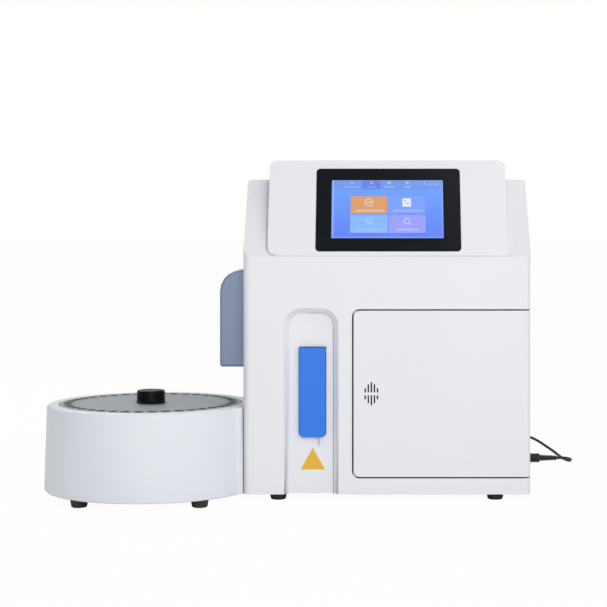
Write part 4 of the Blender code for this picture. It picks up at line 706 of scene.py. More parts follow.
def hand_over(piece, body, slot, finish, *nodes):
    """Give a piece its finish and its body, and hide the CAD nodes that it stands for; the slot is not used."""
    piece.data.materials.clear()
    piece.data.materials.append(finishes[finish])
    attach(piece, body)
    if nodes:
        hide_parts(*nodes)
    return piece


def dressed(node, name, body, slot, finish, width, segments=2, sharp=60, where=None, angle=35):
    """A CAD node's own shape with its edges rounded, handed over in its place."""
    piece = soften(take(node, name), width, segments, sharp, where)
    return hand_over(smoothed(piece, angle), body, slot, finish, node)


def spread(piece, stem, shifts, *fate):
    """Hand over copies of a piece at their shifts, numbered from two, and then the piece itself."""
    for number, shift in enumerate(shifts, 2):
        hand_over(copied(piece, "%s_%d" % (stem, number), shift), *fate)
    hand_over(piece, *fate)


def coat(finish, *nodes):
    """Give CAD nodes that stay as they are their finish."""
    for name in nodes:
        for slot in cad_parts[name].material_slots:
            slot.material = finishes[finish]


class Maker(bpy.types.Operator):
    """Common ground of the analyzer's operators"""

    bl_options = {"REGISTER"}

    def execute(self, context):
        if not finishes:
            mix_finishes(context.scene.analyzer_colours)
        self.make(context.scene.analyzer_sizes)
        return {"FINISHED"}


class ANALYZER_OT_front_shell(Maker):
    """Make the front shell with its sample recess, the door's seal and the mark below the probe"""

    bl_idname = "analyzer.front_shell"
    bl_label = "Front shell"

    def make(self, sizes):
        shell = take("front_shell", "front_cover")
        low, high = local("front_shell")
        flap_low, flap_high = local("probe_flap")
        recess_x, recess_reach, floor, clear = -0.1012, 0.0375, 0.0115, 0.002

        def in_recess(point):
            return abs(point.x - recess_x) < recess_reach and point.z > low.z + 0.001

        def on_floor(point):
            by_flap = (flap_low.x - clear < point.x < flap_high.x + clear
                       and flap_low.z - clear < point.z < flap_high.z + clear)
            return in_recess(point) and abs(point.y - floor) < NEAR and not by_flap

        def at_door(point):
            return point.y < NEAR and point.x > -0.060 and 0.020 < point.z < 0.270

        soften(shell, sizes.recess_edge, 4, 20, lambda p: in_recess(p) and p.y < NEAR)
        soften(shell, sizes.recess_root, 2, 20, on_floor)
        soften(shell, sizes.shell_edge, 2, 40, at_door)
        soften(shell, sizes.shell_edge, where=lambda p: p.y > high.y - NEAR)
        hand_over(smoothed(shell), "cabinet", "shell", "shell", "front_shell")
        # A dark line painted where the recess's right wall throws its shade
        self.joint(floor)
        self.seal()
        self.mark(floor)

    def joint(self, floor):
        """The fine line down the recess's right side and round its upper corner: a dark grey cord as painted
        shadow, where the right wall shades the floor.
        """
        right, top, turn, y = -0.0717, 0.2520, 0.0160, floor - 0.0002
        upright = [(right, y, z) for z in (0.0080, 0.1200, 0.2200)]
        corner = [(x, y, z) for x, z in arc((right - turn, top - turn), turn, 0, 90, 6)]
        pipe("recess_shadow_line", [*upright, *corner, (-0.1000, floor - 0.0001, top), (-0.1150, floor + 0.0006, top)],
             0.0004, "shell", "grey")

    def seal(self):
        """The dark seal that shows in the gap round the door."""
        seal = block("door_seal", (-0.0466, 0.0010, 0.0314), (0.1716, 0.0029, 0.2576), 0)
        inside = block("seal_inside", (-0.0447, -0.010, 0.0332), (0.200, 0.020, 0.2558), 0)
        hand_over(cut_away(seal, inside), "cabinet", "rubber", "seal")

    def mark(self, floor):
        """The plain triangle that points up at the probe."""
        place = at(-0.0994, floor - 0.00012, 0.0516)
        mark = lying_rod("amber_pointer", place, 0.0179, 0.0003, 3)
        with shaping(mark):
            bpy.ops.transform.resize(value=(1.04, 1.0, 1.10), center_override=place)
        with shaping(mark, "EDGE", "NONE"):
            bpy.ops.mesh.edges_select_sharp(sharpness=math.radians(100))
            bpy.ops.mesh.bevel(offset=0.0008, segments=3, affect="EDGES")
        hand_over(mark, "cabinet", "shell", "pointer")


class ANALYZER_OT_rear_shell(Maker):
    """Make the rear shell with its vents, fan, ports and screws, and the base plate"""

    bl_idname = "analyzer.rear_shell"
    bl_label = "Rear shell"

    def make(self, sizes):
        shell = take("rear_shell", "rear_cover")
        low, high = local("rear_shell")
        back = high.y
        soften(shell, sizes.shell_edge, where=lambda p: p.y < low.y + NEAR)
        slot = block("vent_slot", (-0.158, back - 0.006, 0.205), (-0.110, back + 0.004, 0.2078), 0.0011)
        cut_away(shell, arrayed(arrayed(slot, 14, (0, 0, 0.0062)), 2, (0.056, 0, 0)))
        side = block("side_slot", (high.x - 0.008, 0.215, 0.255), (high.x + 0.004, 0.2178, 0.315), 0.0011)
        arrayed(side, 10, (0, 0.0066, 0))
        cut_away(shell, joined(side, copied(side, "side_slot_left", (low.x - high.x, 0, 0))))
        fan_x, fan_z = 0.095, 0.2480
        cut_away(shell, lying_rod("fan_opening", at(fan_x, back, fan_z), 0.0375, 0.02))
        hand_over(smoothed(shell, 40), "cabinet", "shell_rear", "rear", "rear_shell")
        for name, place_low, place_high in (
                ("vent_gauze", (-0.162, back - 0.0042, 0.200), (-0.050, back - 0.0032, 0.296)),
                ("side_gauze_right", (high.x - 0.0042, 0.211, 0.251), (high.x - 0.0032, 0.281, 0.319)),
                ("side_gauze_left", (low.x + 0.0032, 0.211, 0.251), (low.x + 0.0042, 0.281, 0.319))):
            hand_over(block(name, place_low, place_high, 0.0002), "cabinet", "black", "cloth")
        self.fan(fan_x, back, fan_z)
        self.ports(back)
        screw = turned_screw("cover_screw", at(-0.170, back, 0.395), (0, 1, 0))
        spread(screw, "cover_screw", ((0.340, 0, 0), (0, 0, -0.355), (0.340, 0, -0.355), (0, 0, -0.180),
                                      (0.340, 0, -0.180)), "cabinet", "steel", "steel")
        dressed("base_plate", "under_plate", "cabinet", "grey", "zinc", 0.0006)
        screw = turned_screw("plate_screw", at(-0.165, 0.040, low.z), (0, 0, -1))
        spread(screw, "plate_screw", ((0.330, 0, 0), (0, 0.235, 0), (0.330, 0.235, 0), (0.165, 0, 0),
                                      (0.165, 0.235, 0)), "cabinet", "steel", "steel")

    def fan(self, x, back, z):
        """A finger guard of rings and spokes, and the fan behind it."""
        face, along = at(x, back - 0.0016, z), (0, 1, 0)
        rings = [ring_of_wire("guard_%d" % index, face, reach, 0.0007) for index, reach in
                 enumerate((0.0090, 0.0165, 0.0240, 0.0315))]
        spoke = block("guard_spoke", (x - 0.0374, back - 0.0036, z - 0.0007),
                      (x + 0.0374, back - 0.0022, z + 0.0007), 0.0003)
        ringed(spoke, 2, face, along, 180)
        hand_over(smoothed(joined(*rings, spoke)), "cabinet", "steel", "steel")
        hub = lathe("fan_hub", [(0, 0), (0.0150, 0), *arc((0.0138, 0.0108), 0.0012, 0, 90, 3), (0, 0.012)],
                    at(x, back - 0.019, z), 40, along)
        blade = block("fan_blade", (x + 0.0140, back - 0.018, z - 0.0065),
                      (x + 0.0355, back - 0.0168, z + 0.0065), 0.0004)
        with shaping(blade):
            bpy.ops.transform.rotate(value=math.radians(32), orient_axis="X", orient_type="GLOBAL",
                                     center_override=at(x + 0.024, back - 0.0165, z))
        ringed(blade, 7, at(x, back, z), along)
        hand_over(smoothed(joined(hub, blade)), "cabinet", "black", "black")
        box = block("fan_frame", (x - 0.0400, back - 0.024, z - 0.0400), (x + 0.0400, back - 0.0034, z + 0.0400),
                    0.0015)
        cut_away(box, lying_rod("fan_bore", at(x, back - 0.0120, z), 0.0370, 0.018))
        hand_over(smoothed(box), "cabinet", "black", "cloth")

    def ports(self, back):
        """A serial socket with its nuts, a square data socket, and a plate that is left bare."""
        outward, least = (0, 1, 0), 0.9
        shell = block("serial_shell", (0.050, back - 0.004, 0.0900), (0.0675, back + 0.0010, 0.0985), 0.0014, 3)
        sunk(shell, outward, least, 0.0007, 0.0030)
        nut = lying_rod("serial_nut", at(0.0460, back, 0.09425), 0.0026, 0.0030, 6)
        sunk(nut, outward, least, 0.0010, 0.0020)
        joined(shell, nut, copied(nut, "serial_nut_right", (0.0255, 0, 0)))
        hand_over(smoothed(shell), "cabinet", "steel", "steel")
        data = block("data_shell", (0.090, back - 0.004, 0.0885), (0.1020, back + 0.0008, 0.0995), 0.0008)
        sunk(data, outward, least, 0.0008, 0.0040)
        hand_over(smoothed(data), "cabinet", "steel", "steel")
        plate = block("bare_plate", (-0.060, back - 0.0002, 0.0800), (0.010, back + 0.0005, 0.1250), 0.0002)
        hand_over(smoothed(plate), "cabinet", "steel", "zinc")


class ANALYZER_OT_display(Maker):
    """Make the leaning display housing, its glass bezel and the lit panel"""

    bl_idname = "analyzer.display"
    bl_label = "Display"

    def make(self, sizes):
        housing = take("display_housing", "display_cover")
        low, high = local("display_housing")
        foot, lean, window_edge, front_rise = 0.328, 0.054, 0.0004, 0.1306
        window_x, window_reach, window_low, window_high = 0.002, 0.0985, 0.0064, 0.1302
        tall = high.z - foot
        slope = math.hypot(lean, tall)

        def on_front(point):
            return abs(lean * (point.z - foot) - tall * point.y) / slope < NEAR

        def outside(point):
            up = (lean * point.y + tall * (point.z - foot)) / slope
            return abs(point.x - window_x) > window_reach or up < window_low or up > window_high

        def behind(point):
            return not on_front(point) and point.y > lean and point.z > high.z - 0.030 and (
                point.x < low.x + NEAR or point.x > high.x - NEAR or point.z > high.z - NEAR)

        soften(housing, sizes.head_edge, 4, 25, lambda p: on_front(p) and outside(p))
        soften(housing, window_edge, 2, 25, lambda p: on_front(p) and not outside(p))
        soften(housing, 0.0016, 3, 50, behind)
        hand_over(smoothed(housing), "cabinet", "shell", "shell", "display_housing")
        self.beads(sizes.head_corner, foot, low, high)
        # A pale grey line along the housing's foot: painted shade, where the housing's lower edge shades the
        # shoulder
        pipe("housing_shade_line", [(low.x + 0.0130, 0.0006, 0.3290), (0.0, 0.0002, 0.3286),
                              (high.x - 0.0060, 0.0002, 0.3286), (high.x + 0.0100, 0.0006, 0.3286)],
             0.0005, "shell", "pale")
        dressed("display_bezel", "glass_bezel", "cabinet", "black", "bezel", sizes.bezel_edge, 3, 40)
        finishes["display"] = lit_display("lit_display", middle("display_panel"), math.atan2(lean, front_rise))
        coat("display", "display_panel")

    def beads(self, turn, foot, low, high):
        """The beads beside the housing: round its lower corners, up the shoulder and over it. The left bead's grey
        is painted shade from the housing; the right bead is the same bead in the shell's white.
        """
        shoulder_back, shoulder_top, radius = 0.086, 0.4333, 0.0028
        run = shoulder_back / (shoulder_top - foot)
        rows = [(turn * (math.cos(math.radians(angle)) - 1), turn * (1 - math.sin(math.radians(angle))), sink)
                for angle, sink in ((90, 0.0031), (75, 0.0024), (60, 0.0019), (45, 0.0015), (30, 0.0013),
                                    (15, 0.0011))]
        rows += [(0, 0.0160, 0.0010), (0.0010, 0.0440, 0.0008), (0.0022, 0.0740, 0.0008), (0.0030, 0.0960, 0.0010)]
        over = ((0.0030, 0.0868, 0.4302), (0.0020, 0.0930, 0.4308), (0, 0.1000, 0.4308),
                (0, high.y - 0.004, 0.4308))
        # The left bead is grey as painted shade in the housing's shadow; the right one is the same bead in the
        # shell's white
        for side, name, finish in ((low.x, "housing_bead_left_shaded", "bead"), (high.x, "housing_bead_right", "shell")):
            out = math.copysign(1, side)
            points = [(side + out * away, run * rise + sink, foot + rise) for away, rise, sink in rows]
            points += [(side + out * away, y, z) for away, y, z in over]
            pipe(name, points, radius, "shell", finish)


class ANALYZER_OT_sample_probe(Maker):
    """Make the blue flap and finish the probe behind it"""

    bl_idname = "analyzer.sample_probe"
    bl_label = "Flap and sample probe"

    def make(self, sizes):
        front = local("probe_flap")[0].y
        dressed("probe_flap", "blue_flap", "flap", "blue", "flap", sizes.flap_edge, 3, 40,
                lambda p: p.y < front + NEAR)
        dressed("probe_carrier", "needle_carrier", "probe", "pale", "pale", 0.0006)
        low, high = local("sample_probe")
        centre, tall = (low + high) / 2, high.z - low.z
        needle = lathe("sample_needle", [
            (0.0004, 0.0030), (0.0004, 0), (0.0006, 0), (0.0008, 0.0012), (0.0008, tall - 0.020),
            (0.0016, tall - 0.0195), (0.0016, tall - 0.006), (0.0008, tall - 0.005), (0.0008, tall), (0, tall)],
            at(centre.x, centre.y, low.z), 20)
        with shaping(needle, "EDGE", "NONE"):
            bpy.ops.mesh.select_non_manifold()
            bpy.ops.mesh.edge_face_add()
        hand_over(smoothed(needle), "probe", "steel", "steel", "sample_probe")
        coat("steel", "flap_pin")
        coat("grey", "probe_frame")


class ANALYZER_OT_reagent_door(Maker):
    """Make the reagent door with its grille, and its hinges"""

    bl_idname = "analyzer.reagent_door"
    bl_label = "Reagent door"

    def make(self, sizes):
        door = take("reagent_door", "reagent_hatch")
        low, high = local("reagent_door")
        side_gap, end_gaps, corner, hinge_side = 0.0005, 0.0006, 0.009, 0.012
        with shaping(door):
            bpy.ops.transform.resize(
                value=(1 - side_gap / (high.x - low.x), 1, 1 - end_gaps / (high.z - low.z)),
                center_override=at(high.x, 0, (low.z + high.z) / 2))

        def on_rim(point):
            return point.y < NEAR and point.x < high.x - hinge_side and (
                point.x < low.x + corner or point.z < low.z + 2 * NEAR or point.z > high.z - 2 * NEAR)

        soften(door, sizes.door_edge, 3, 60, on_rim)
        hand_over(smoothed(door, 40), "door", "shell", "shell", "reagent_door")
        catch = block("door_catch", (low.x + 0.0105, 0.0030, 0.1375), (low.x + 0.0135, 0.0180, 0.1515), 0.0008)
        hand_over(smoothed(catch), "door", "shell", "grey")
        coat("cloth", "grille_backing")
        for node, name in (("door_hinge_top", "upper_hinge"), ("door_hinge_bottom", "lower_hinge")):
            dressed(node, name, "cabinet", "steel", "zinc", 0.0003)


class ANALYZER_OT_compartment(Maker):
    """Make what stands behind the door: liner, latch, pack, electrodes, pump and tubing"""

    bl_idname = "analyzer.compartment"
    bl_label = "Reagent compartment"

    def make(self, sizes):
        dressed("compartment_liner", "compartment_tub", "cabinet", "pale", "pale", 0.0007)
        latch = soften(take("door_latch", "catch_latch"), 0.0008)
        sunk(latch, (0, -1, 0), 0.95, 0.0018, 0.0040)
        hand_over(smoothed(latch), "cabinet", "grey", "grey", "door_latch")
        self.pack()
        self.electrodes()
        self.pump()

    def pack(self):
        """The pack's carton with a moulded cap and its fittings."""
        low, high = local("reagent_pack")
        carton = block("reagent_carton", low, high - Vector((0, 0, 0.010)), 0.0030, 3)
        hand_over(smoothed(carton), "cabinet", "pack", "pack", "reagent_pack")
        cap = block("pack_cap", (low.x + 0.002, low.y + 0.002, high.z - 0.0105),
                    (high.x - 0.002, high.y - 0.002, high.z), 0.0025, 3)
        hand_over(smoothed(cap), "cabinet", "grey", "grey")
        fitting = lathe("pack_fitting_1", [
            (0, 0), (0.0052, 0), (0.0052, 0.0030), (0.0032, 0.0036), (0.0032, 0.0068), (0.0024, 0.0074),
            (0.0024, 0.0090), (0, 0.0090)], at(low.x + 0.0140, low.y + 0.018, high.z - 0.0002), 24)
        spread(fitting, "pack_fitting", [(number * 0.0175, 0, 0) for number in range(1, 5)], "cabinet", "pale",
               "pale")

    def electrodes(self):
        """The block and the four electrodes: clear bodies with caps and pins."""
        dressed("electrode_block", "electrode_mount", "cabinet", "pale", "pale", 0.0015, 3)
        low, high = local("electrode_1")
        centre = (low + high) / 2
        reach, deep = (high.x - low.x) / 2, high.y - low.y
        outward = (0, -1, 0)
        body = lathe("electrode_body_1", [
            (0, 0), (reach - 0.0012, 0), (reach, 0.0012), (reach, deep * 0.55), (reach - 0.0016, deep * 0.60),
            (reach - 0.0016, deep), (0, deep)], at(centre.x, high.y, centre.z), 40, outward)
        cap = lathe("electrode_cap_1", [
            (0, 0), (reach - 0.0008, 0), (reach - 0.0008, 0.0030), (reach - 0.0040, 0.0038), (0.0018, 0.0040),
            (0.0018, 0.0070), (0, 0.0072)], at(centre.x, low.y + 0.0002, centre.z), 40, outward)
        for number, tone in ((2, "grey"), (3, "flap"), (4, "pointer")):
            node = "electrode_%d" % number
            rise = (0, 0, local(node)[0].z - low.z)
            hand_over(smoothed(copied(body, "electrode_body_%d" % number, rise)), "cabinet", "acrylic", "clear",
                      node)
            hand_over(smoothed(copied(cap, "electrode_cap_%d" % number, rise)), "cabinet", "grey", tone)
        hand_over(smoothed(body), "cabinet", "acrylic", "clear", "electrode_1")
        hand_over(smoothed(cap), "cabinet", "grey", "black")

    def pump(self):
        """The pump's head, its rotor with three rollers, and the tube that they squeeze."""
        dressed("pump_head", "pump_body", "cabinet", "grey", "grey", 0.0012, 3)
        low, high = local("pump_rotor")
        x, y, z = (low + high) / 2
        reach, deep, plate, bore = (high.x - low.x) / 2, high.y - low.y, 0.0030, 0.0046
        outward, roller_radius = (0, -1, 0), 0.0047
        rim = [(bore, 0), (reach - 0.0005, 0), (reach, 0.0005), (reach, plate - 0.0005), (reach - 0.0005, plate),
               (bore, plate)]
        front = lathe("rotor_front", [*rim, rim[0]], at(x, low.y + plate, z), 64, outward)
        rear = copied(front, "rotor_rear", (0, deep - plate, 0))
        between = deep - 2 * plate
        roller = lathe("pump_roller", [(0, 0), (roller_radius, 0), (roller_radius, between), (0, between)],
                       at(x, high.y - plate, z + reach - 0.0053), 24, outward)
        ringed(roller, 3, at(x, 0, z), (0, 1, 0))
        hand_over(smoothed(joined(front, rear, roller)), "pump", "pale", "pale", "pump_rotor")
        round_rotor = 0.0263
        left, right = x - round_rotor, x + round_rotor
        pipe("pump_tube", [(right, y, z - 0.028), (right, y, z - 0.012),
                           *[(across, y, up) for across, up in arc((x, z), round_rotor, 0, 180, 9)],
                           (left, y, z - 0.012), (left, y, z - 0.028)], 0.0014)
        pipe("sample_tube", [(x + 0.0100, 0.0600, 0.2250), (x + 0.0100, 0.0500, 0.2380), (0.0600, 0.0450, 0.2400),
                             (0.0760, 0.0340, 0.2330), (0.0760, 0.0340, 0.2268)], 0.0012)
        pipe("waste_tube", [(x + 0.0262, y, z - 0.0270), (x + 0.0300, y, 0.0470), (0.0440, 0.0700, 0.0450),
                            (0.0520, 0.1000, 0.0460), (0.0530, 0.1470, 0.0600)], 0.0014)


class ANALYZER_OT_tray_housing(Maker):
    """Make the round tray housing, the turntable and its drive"""

    bl_idname = "analyzer.tray_housing"
    bl_label = "Tray housing"

    def make(self, sizes):
        top = local("tray_housing")[1].z
        dressed("tray_housing", "tray_drum", "cabinet", "drum", "drum", sizes.drum_edge, 3, 60,
                lambda p: p.z > top - NEAR, 40)
        low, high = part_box("turntable")
        centre, reach = (low + high) / 2, (high.x - low.x) / 2
        table = lathe("turning_plate", [
            (0, 0), (0.0077, 0), (0.0077, 0.0090), (reach - 0.0006, 0.0090), (reach, 0.0096), (reach, 0.0184),
            (reach - 0.0006, 0.0190), (0.0140, 0.0190), (0.0120, 0.0200), (0.0120, 0.0255), (0.0115, 0.0260),
            (0.0050, 0.0260), (0.0050, 0.0400), (0.0040, 0.0410), (0, 0.0410)],
            Vector((centre.x, centre.y, low.z)), 96)
        hand_over(smoothed(table), "turntable", "grey", "grey", "turntable")
        coat("grey", "tray_motor")
        coat("rubber", "drive_roller")


class ANALYZER_OT_sample_tray(Maker):
    """Make the sample disc with its tube places, and its knob"""

    bl_idname = "analyzer.sample_tray"
    bl_label = "Sample tray"

    def make(self, sizes):
        axle = middle("tray_knob")
        axle.z = 0
        self.disc(sizes, axle)
        low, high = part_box("tray_knob")
        reach, tall = (high.x - low.x) / 2, high.z - low.z
        knob = lathe("tray_grip", [
            (0, 0), (reach, 0), (reach, 0.0012), (reach - 0.0005, 0.0016), (reach - 0.0007, tall - 0.0032),
            *arc((reach - 0.0032, tall - 0.0026), 0.0024, 10, 90, 5), (0.0120, tall), (0.0116, tall - 0.0003),
            (0, tall - 0.0003)], Vector((axle.x, axle.y, low.z)), 72)
        hand_over(smoothed(knob, 40), "tray", "black", "knob", "tray_knob")

    def disc(self, sizes, axle):
        """The disc over its shelf, with a ring of tube places and a cup in each, near black as painted shade
        inside the places.
        """
        low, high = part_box("sample_tray")
        reach, top = (high.x - low.x) / 2, high.z - low.z
        ring, shelf_low, hub, plate = 0.1128, 0.0782, 0.0200, 0.0025
        shelf, hole = shelf_low - low.z, sizes.hole_width / 2
        tray = lathe("tray_disc", [
            (0.0053, 0), (hub, 0), (hub, shelf), (reach - 0.0034, shelf), (reach - 0.0030, shelf + 0.0004),
            (reach - 0.0030, shelf + 0.0021), (reach - 0.0034, shelf + plate), (hub, shelf + plate),
            (hub, top - plate), (reach - 0.0004, top - plate), (reach, top - 0.0021), (reach, top - 0.0005),
            (reach - 0.0005, top), (0.1036, top), (0.1032, top - 0.0004), (0.1024, top - 0.0004), (0.1020, top),
            (0.0240, top), (0.0236, top - 0.0004), (0, top - 0.0004), (0, 0.0153), (0.0053, 0.0153), (0.0053, 0)],
            Vector((axle.x, axle.y, low.z)), 160)
        cutter = settled(start("cylinder", "place_cutter", vertices=28, radius=hole, depth=0.010,
                               location=(axle.x + ring, axle.y, high.z)))
        cut_away(tray, ringed(cutter, sizes.hole_count, axle))

        def rim(point):
            away = math.hypot(point.x + ORIGIN.x - axle.x, point.y + ORIGIN.y - axle.y)
            return point.z > high.z - NEAR / 2 and abs(away - ring) < hole + NEAR / 2

        soften(tray, sizes.hole_edge, 2, 60, rim)
        hand_over(smoothed(tray, 30), "tray", "disc", "disc", "sample_tray")
        # The cups are real, but their near black is painted shade inside the tube places
        inside, outside, deep = hole - 0.0005, hole - 0.0001, top - 0.0006 - shelf - 0.0027
        cup = lathe("shaded_tube_cups", [(0, 0), (outside, 0), (outside, deep), (inside, deep), (inside, 0.0010),
                                  (0, 0.0010)], Vector((axle.x + ring, axle.y, shelf_low + 0.0027)), 24)
        ringed(cup, sizes.hole_count, axle)
        hand_over(smoothed(cup), "tray", "black", "cloth")


class ANALYZER_OT_sampling_arm(Maker):
    """Make the arm's cover, its carriage and its probe"""

    bl_idname = "analyzer.sampling_arm"
    bl_label = "Sampling arm"

    def make(self, sizes):
        cover = take("arm_housing", "arm_cover")
        low, high = local("arm_housing")
        soften(cover, sizes.arm_edge, 5, 60, lambda p: p.y < low.y + NEAR and p.x < high.x - NEAR)
        soften(cover, sizes.arm_edge, 5, 60, lambda p: p.y > high.y - NEAR and p.x < high.x - NEAR)
        hand_over(smoothed(cover, 40), "cabinet", "slate", "slate", "arm_housing")
        dressed("arm_carriage", "tray_probe_carriage", "arm", "pale", "pale", 0.0008)
        coat("steel", "arm_probe")


class ANALYZER_OT_printer(Maker):
    """Make the printer's lid with its paper slot, its bay and the paper roll"""

    bl_idname = "analyzer.printer"
    bl_label = "Printer"

    def make(self, sizes):
        rim = local("printer_bay")[1].z
        dressed("printer_bay", "printer_well", "cabinet", "grey", "grey", 0.0005, where=lambda p: p.z > rim - NEAR)
        lid = take("printer_lid", "printer_cover")
        low, high = local("printer_lid")
        soften(lid, 0.0007, where=lambda p: p.z > high.z - NEAR and abs(p.x) < 0.0478)
        slot_end = 0.030
        slot = block("paper_slot", (-slot_end, low.y + 0.010, high.z - 0.010),
                     (slot_end, low.y + 0.0125, high.z + 0.010), 0.0008)
        cut_away(lid, slot)
        notch = start("cylinder", "finger_notch", vertices=32, radius=0.011, depth=0.020,
                      location=at(0, low.y - 0.0042, high.z))
        cut_away(lid, settled(notch))
        hand_over(smoothed(lid), "lid", "shell_rear", "rear", "printer_lid")
        bar_end = slot_end + 0.001
        bar = block("tear_bar", (-bar_end, low.y + 0.0132, high.z - 0.0002),
                    (bar_end, low.y + 0.0160, high.z + 0.0006), 0.0002)
        hand_over(smoothed(bar), "lid", "shell_rear", "zinc")
        low, high = local("paper_roll")
        centre, reach, wide = (low + high) / 2, (high.z - low.z) / 2, high.x - low.x
        core, edge = 0.0060, 0.0003
        roll = lathe("paper_winding", [
            (core, 0), (reach - edge, 0), (reach, edge), (reach, wide - edge), (reach - edge, wide), (core, wide),
            (core, 0)], at(low.x, centre.y, centre.z), 72, (1, 0, 0))
        hand_over(smoothed(roll), "roll", "paper", "paper", "paper_roll")


class ANALYZER_OT_electronics(Maker):
    """Make the power switch and the jack, and finish the board and the supply"""

    bl_idname = "analyzer.electronics"
    bl_label = "Electronics"

    def make(self, sizes):
        coat("board", "main_board")
        coat("zinc", "power_supply")
        coat("black", "power_jack")
        face = local("switch_bezel")[1].y
        dressed("switch_bezel", "switch_frame", "cabinet", "black", "black", 0.0004,
                where=lambda p: p.y > face - NEAR)
        crest = local("power_rocker")[1].y
        dressed("power_rocker", "switch_rocker", "rocker", "black", "black", 0.0006, 3, 60,
                lambda p: p.y > crest - 0.0030)


class ANALYZER_OT_feet(Maker):
    """Make the rubber feet: one, copied to every place"""

    bl_idname = "analyzer.feet"
    bl_label = "Feet"

    def make(self, sizes):
        low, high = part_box("foot_body_1")
        centre, reach, tall = (low + high) / 2, (high.x - low.x) / 2, high.z - low.z
        foot = lathe("rubber_foot_body_1", [
            (0, 0.0030), (0.0042, 0.0030), (0.0042, 0.0004), (0.0048, 0), (reach * 0.66, 0),
            *arc((reach * 0.66, 0.0026), 0.0026, 270, 345, 4), (reach - 0.0004, tall - 0.0008),
            (reach - 0.0004, tall), (0, tall)], Vector((centre.x, centre.y, low.z)), 48)
        for name in [*["foot_body_%d" % n for n in range(2, 5)], *["foot_tray_%d" % n for n in range(1, 5)]]:
            other = copied(foot, "rubber_" + name, middle(name) - centre)
            hand_over(smoothed(other), "cabinet", "rubber", "rubber", name)
        hand_over(smoothed(foot), "cabinet", "rubber", "rubber", "foot_body_1")


class ANALYZER_OT_cord(Maker):
    """Make the plug, the cord with its coil behind the cabinet, its tie and the wall adapter"""

    bl_idname = "analyzer.cord"
    bl_label = "Cord"

    def make(self, sizes):
        radius = sizes.cord_width / 2
        points = cord_points(radius)
        plug = self.plug()
        others = [*self.adapter(), self.tie()]
        cord = round_line("power_cord", points, radius, 4, 3)
        hand_over(cord, "cabinet", "rubber", "rubber", "cord_run", "cord_coil", "cord_tail")

    def plug(self):
        """The plug's ribbed grip and its slotted sleeve, which narrows towards the cord."""
        grip_radius, sleeve_radius, ribs = 0.0067, 0.0047, 7
        profile = [(0, 0), (0.0056, 0), (0.0056, 0.0016), (0.0062, 0.0020), (grip_radius, 0.0026)]
        for index in range(ribs):
            near = 0.0060 + index * 0.0032
            profile += [(grip_radius, near), (0.0058, near + 0.0005), (0.0058, near + 0.0013),
                        (grip_radius, near + 0.0018)]
        profile += [(grip_radius, 0.0292), (0.0060, 0.0305), (sleeve_radius, 0.0310)]
        for index in range(ribs):
            near = 0.0318 + index * 0.0034
            wide = sleeve_radius - (near - 0.031) * 0.052
            profile += [(wide, near), (wide - 0.0011, near + 0.0003), (wide - 0.0011, near + 0.0013),
                        (wide, near + 0.0016)]
        profile += [(0.0033, 0.0556), (0.0021, 0.0560), (0, 0.0560)]
        place = Vector((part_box("power_plug")[0].x, PLUG_END.y + ORIGIN.y, PLUG_END.z))
        return hand_over(smoothed(lathe("cord_plug", profile, place, 32, (1, 0, 0)), 40), "cabinet", "rubber",
                         "rubber", "power_plug")

    def adapter(self):
        """The wall adapter's body and its two prongs."""
        low, high = local("wall_adapter")
        body_low = Vector((high.x - 0.062, low.y, 0))
        adapter = sunk(block("adapter_body", body_low, high, 0.0040, 4), (0, 0, 1), 0.99, 0.0030, 0.0006)
        hand_over(smoothed(adapter), "cabinet", "black", "black", "wall_adapter")
        centre = (body_low + high) / 2
        prong = block("adapter_prong", (low.x, centre.y - 0.0071, centre.z - 0.00325),
                      (low.x + 0.020, centre.y - 0.0056, centre.z + 0.00325), 0.0004)
        prongs = joined(prong, copied(prong, "adapter_prong_other", (0, 0.0127, 0)))
        return adapter, hand_over(smoothed(prongs), "cabinet", "steel", "steel")

    def tie(self):
        """The strap round one side of the coil."""
        tie = block("cord_tie", COIL_CENTRE + Vector((-0.0345, -0.0060, -0.0020)),
                    COIL_CENTRE + Vector((-0.0105, 0.0060, 0.0082)), 0.0022, 3)
        with shaping(pick_faces(tie, lambda centre, normal: abs(normal.y) > 0.99), "FACE", "KEEP"):
            bpy.ops.mesh.inset(thickness=0.0009)
            bpy.ops.mesh.delete(type="FACE")
        strap = tie.modifiers.new("strap", "SOLIDIFY")
        strap.thickness, strap.offset = 0.0007, -1
        only(tie)
        bpy.ops.object.modifier_apply(modifier=strap.name)
        return hand_over(smoothed(tie), "cabinet", "rubber", "rubber")


# The cord's route, as in the part's source

PLUG_END = Vector((0.1925 + SEAT + 0.031 + 0.025 + SEAT, 0.200, 0.030))
ROUTE = (
    (0.2660, 0.2080, 0.0280), (0.2720, 0.2220, 0.0240), (0.2710, 0.2420, 0.0200), (0.2640, 0.2680, 0.0205),
    (0.2480, 0.2900, 0.0310), (0.2220, 0.3100, 0.0450), (0.1950, 0.3230, 0.0480), (0.1700, 0.3290, 0.0380),
    (0.1520, 0.3290, 0.0200), (0.1400, 0.3260, 0.0080),
)
COIL_CENTRE = Vector((0.085, 0.358, 0.0021))
COIL_RADIUS, COIL_PITCH, COIL_TURNS, COIL_STEPS = 0.0317, 0.0047, 3.75, 24
ADAPTER_FACE = Vector((0.012, 0.336, 0.015))


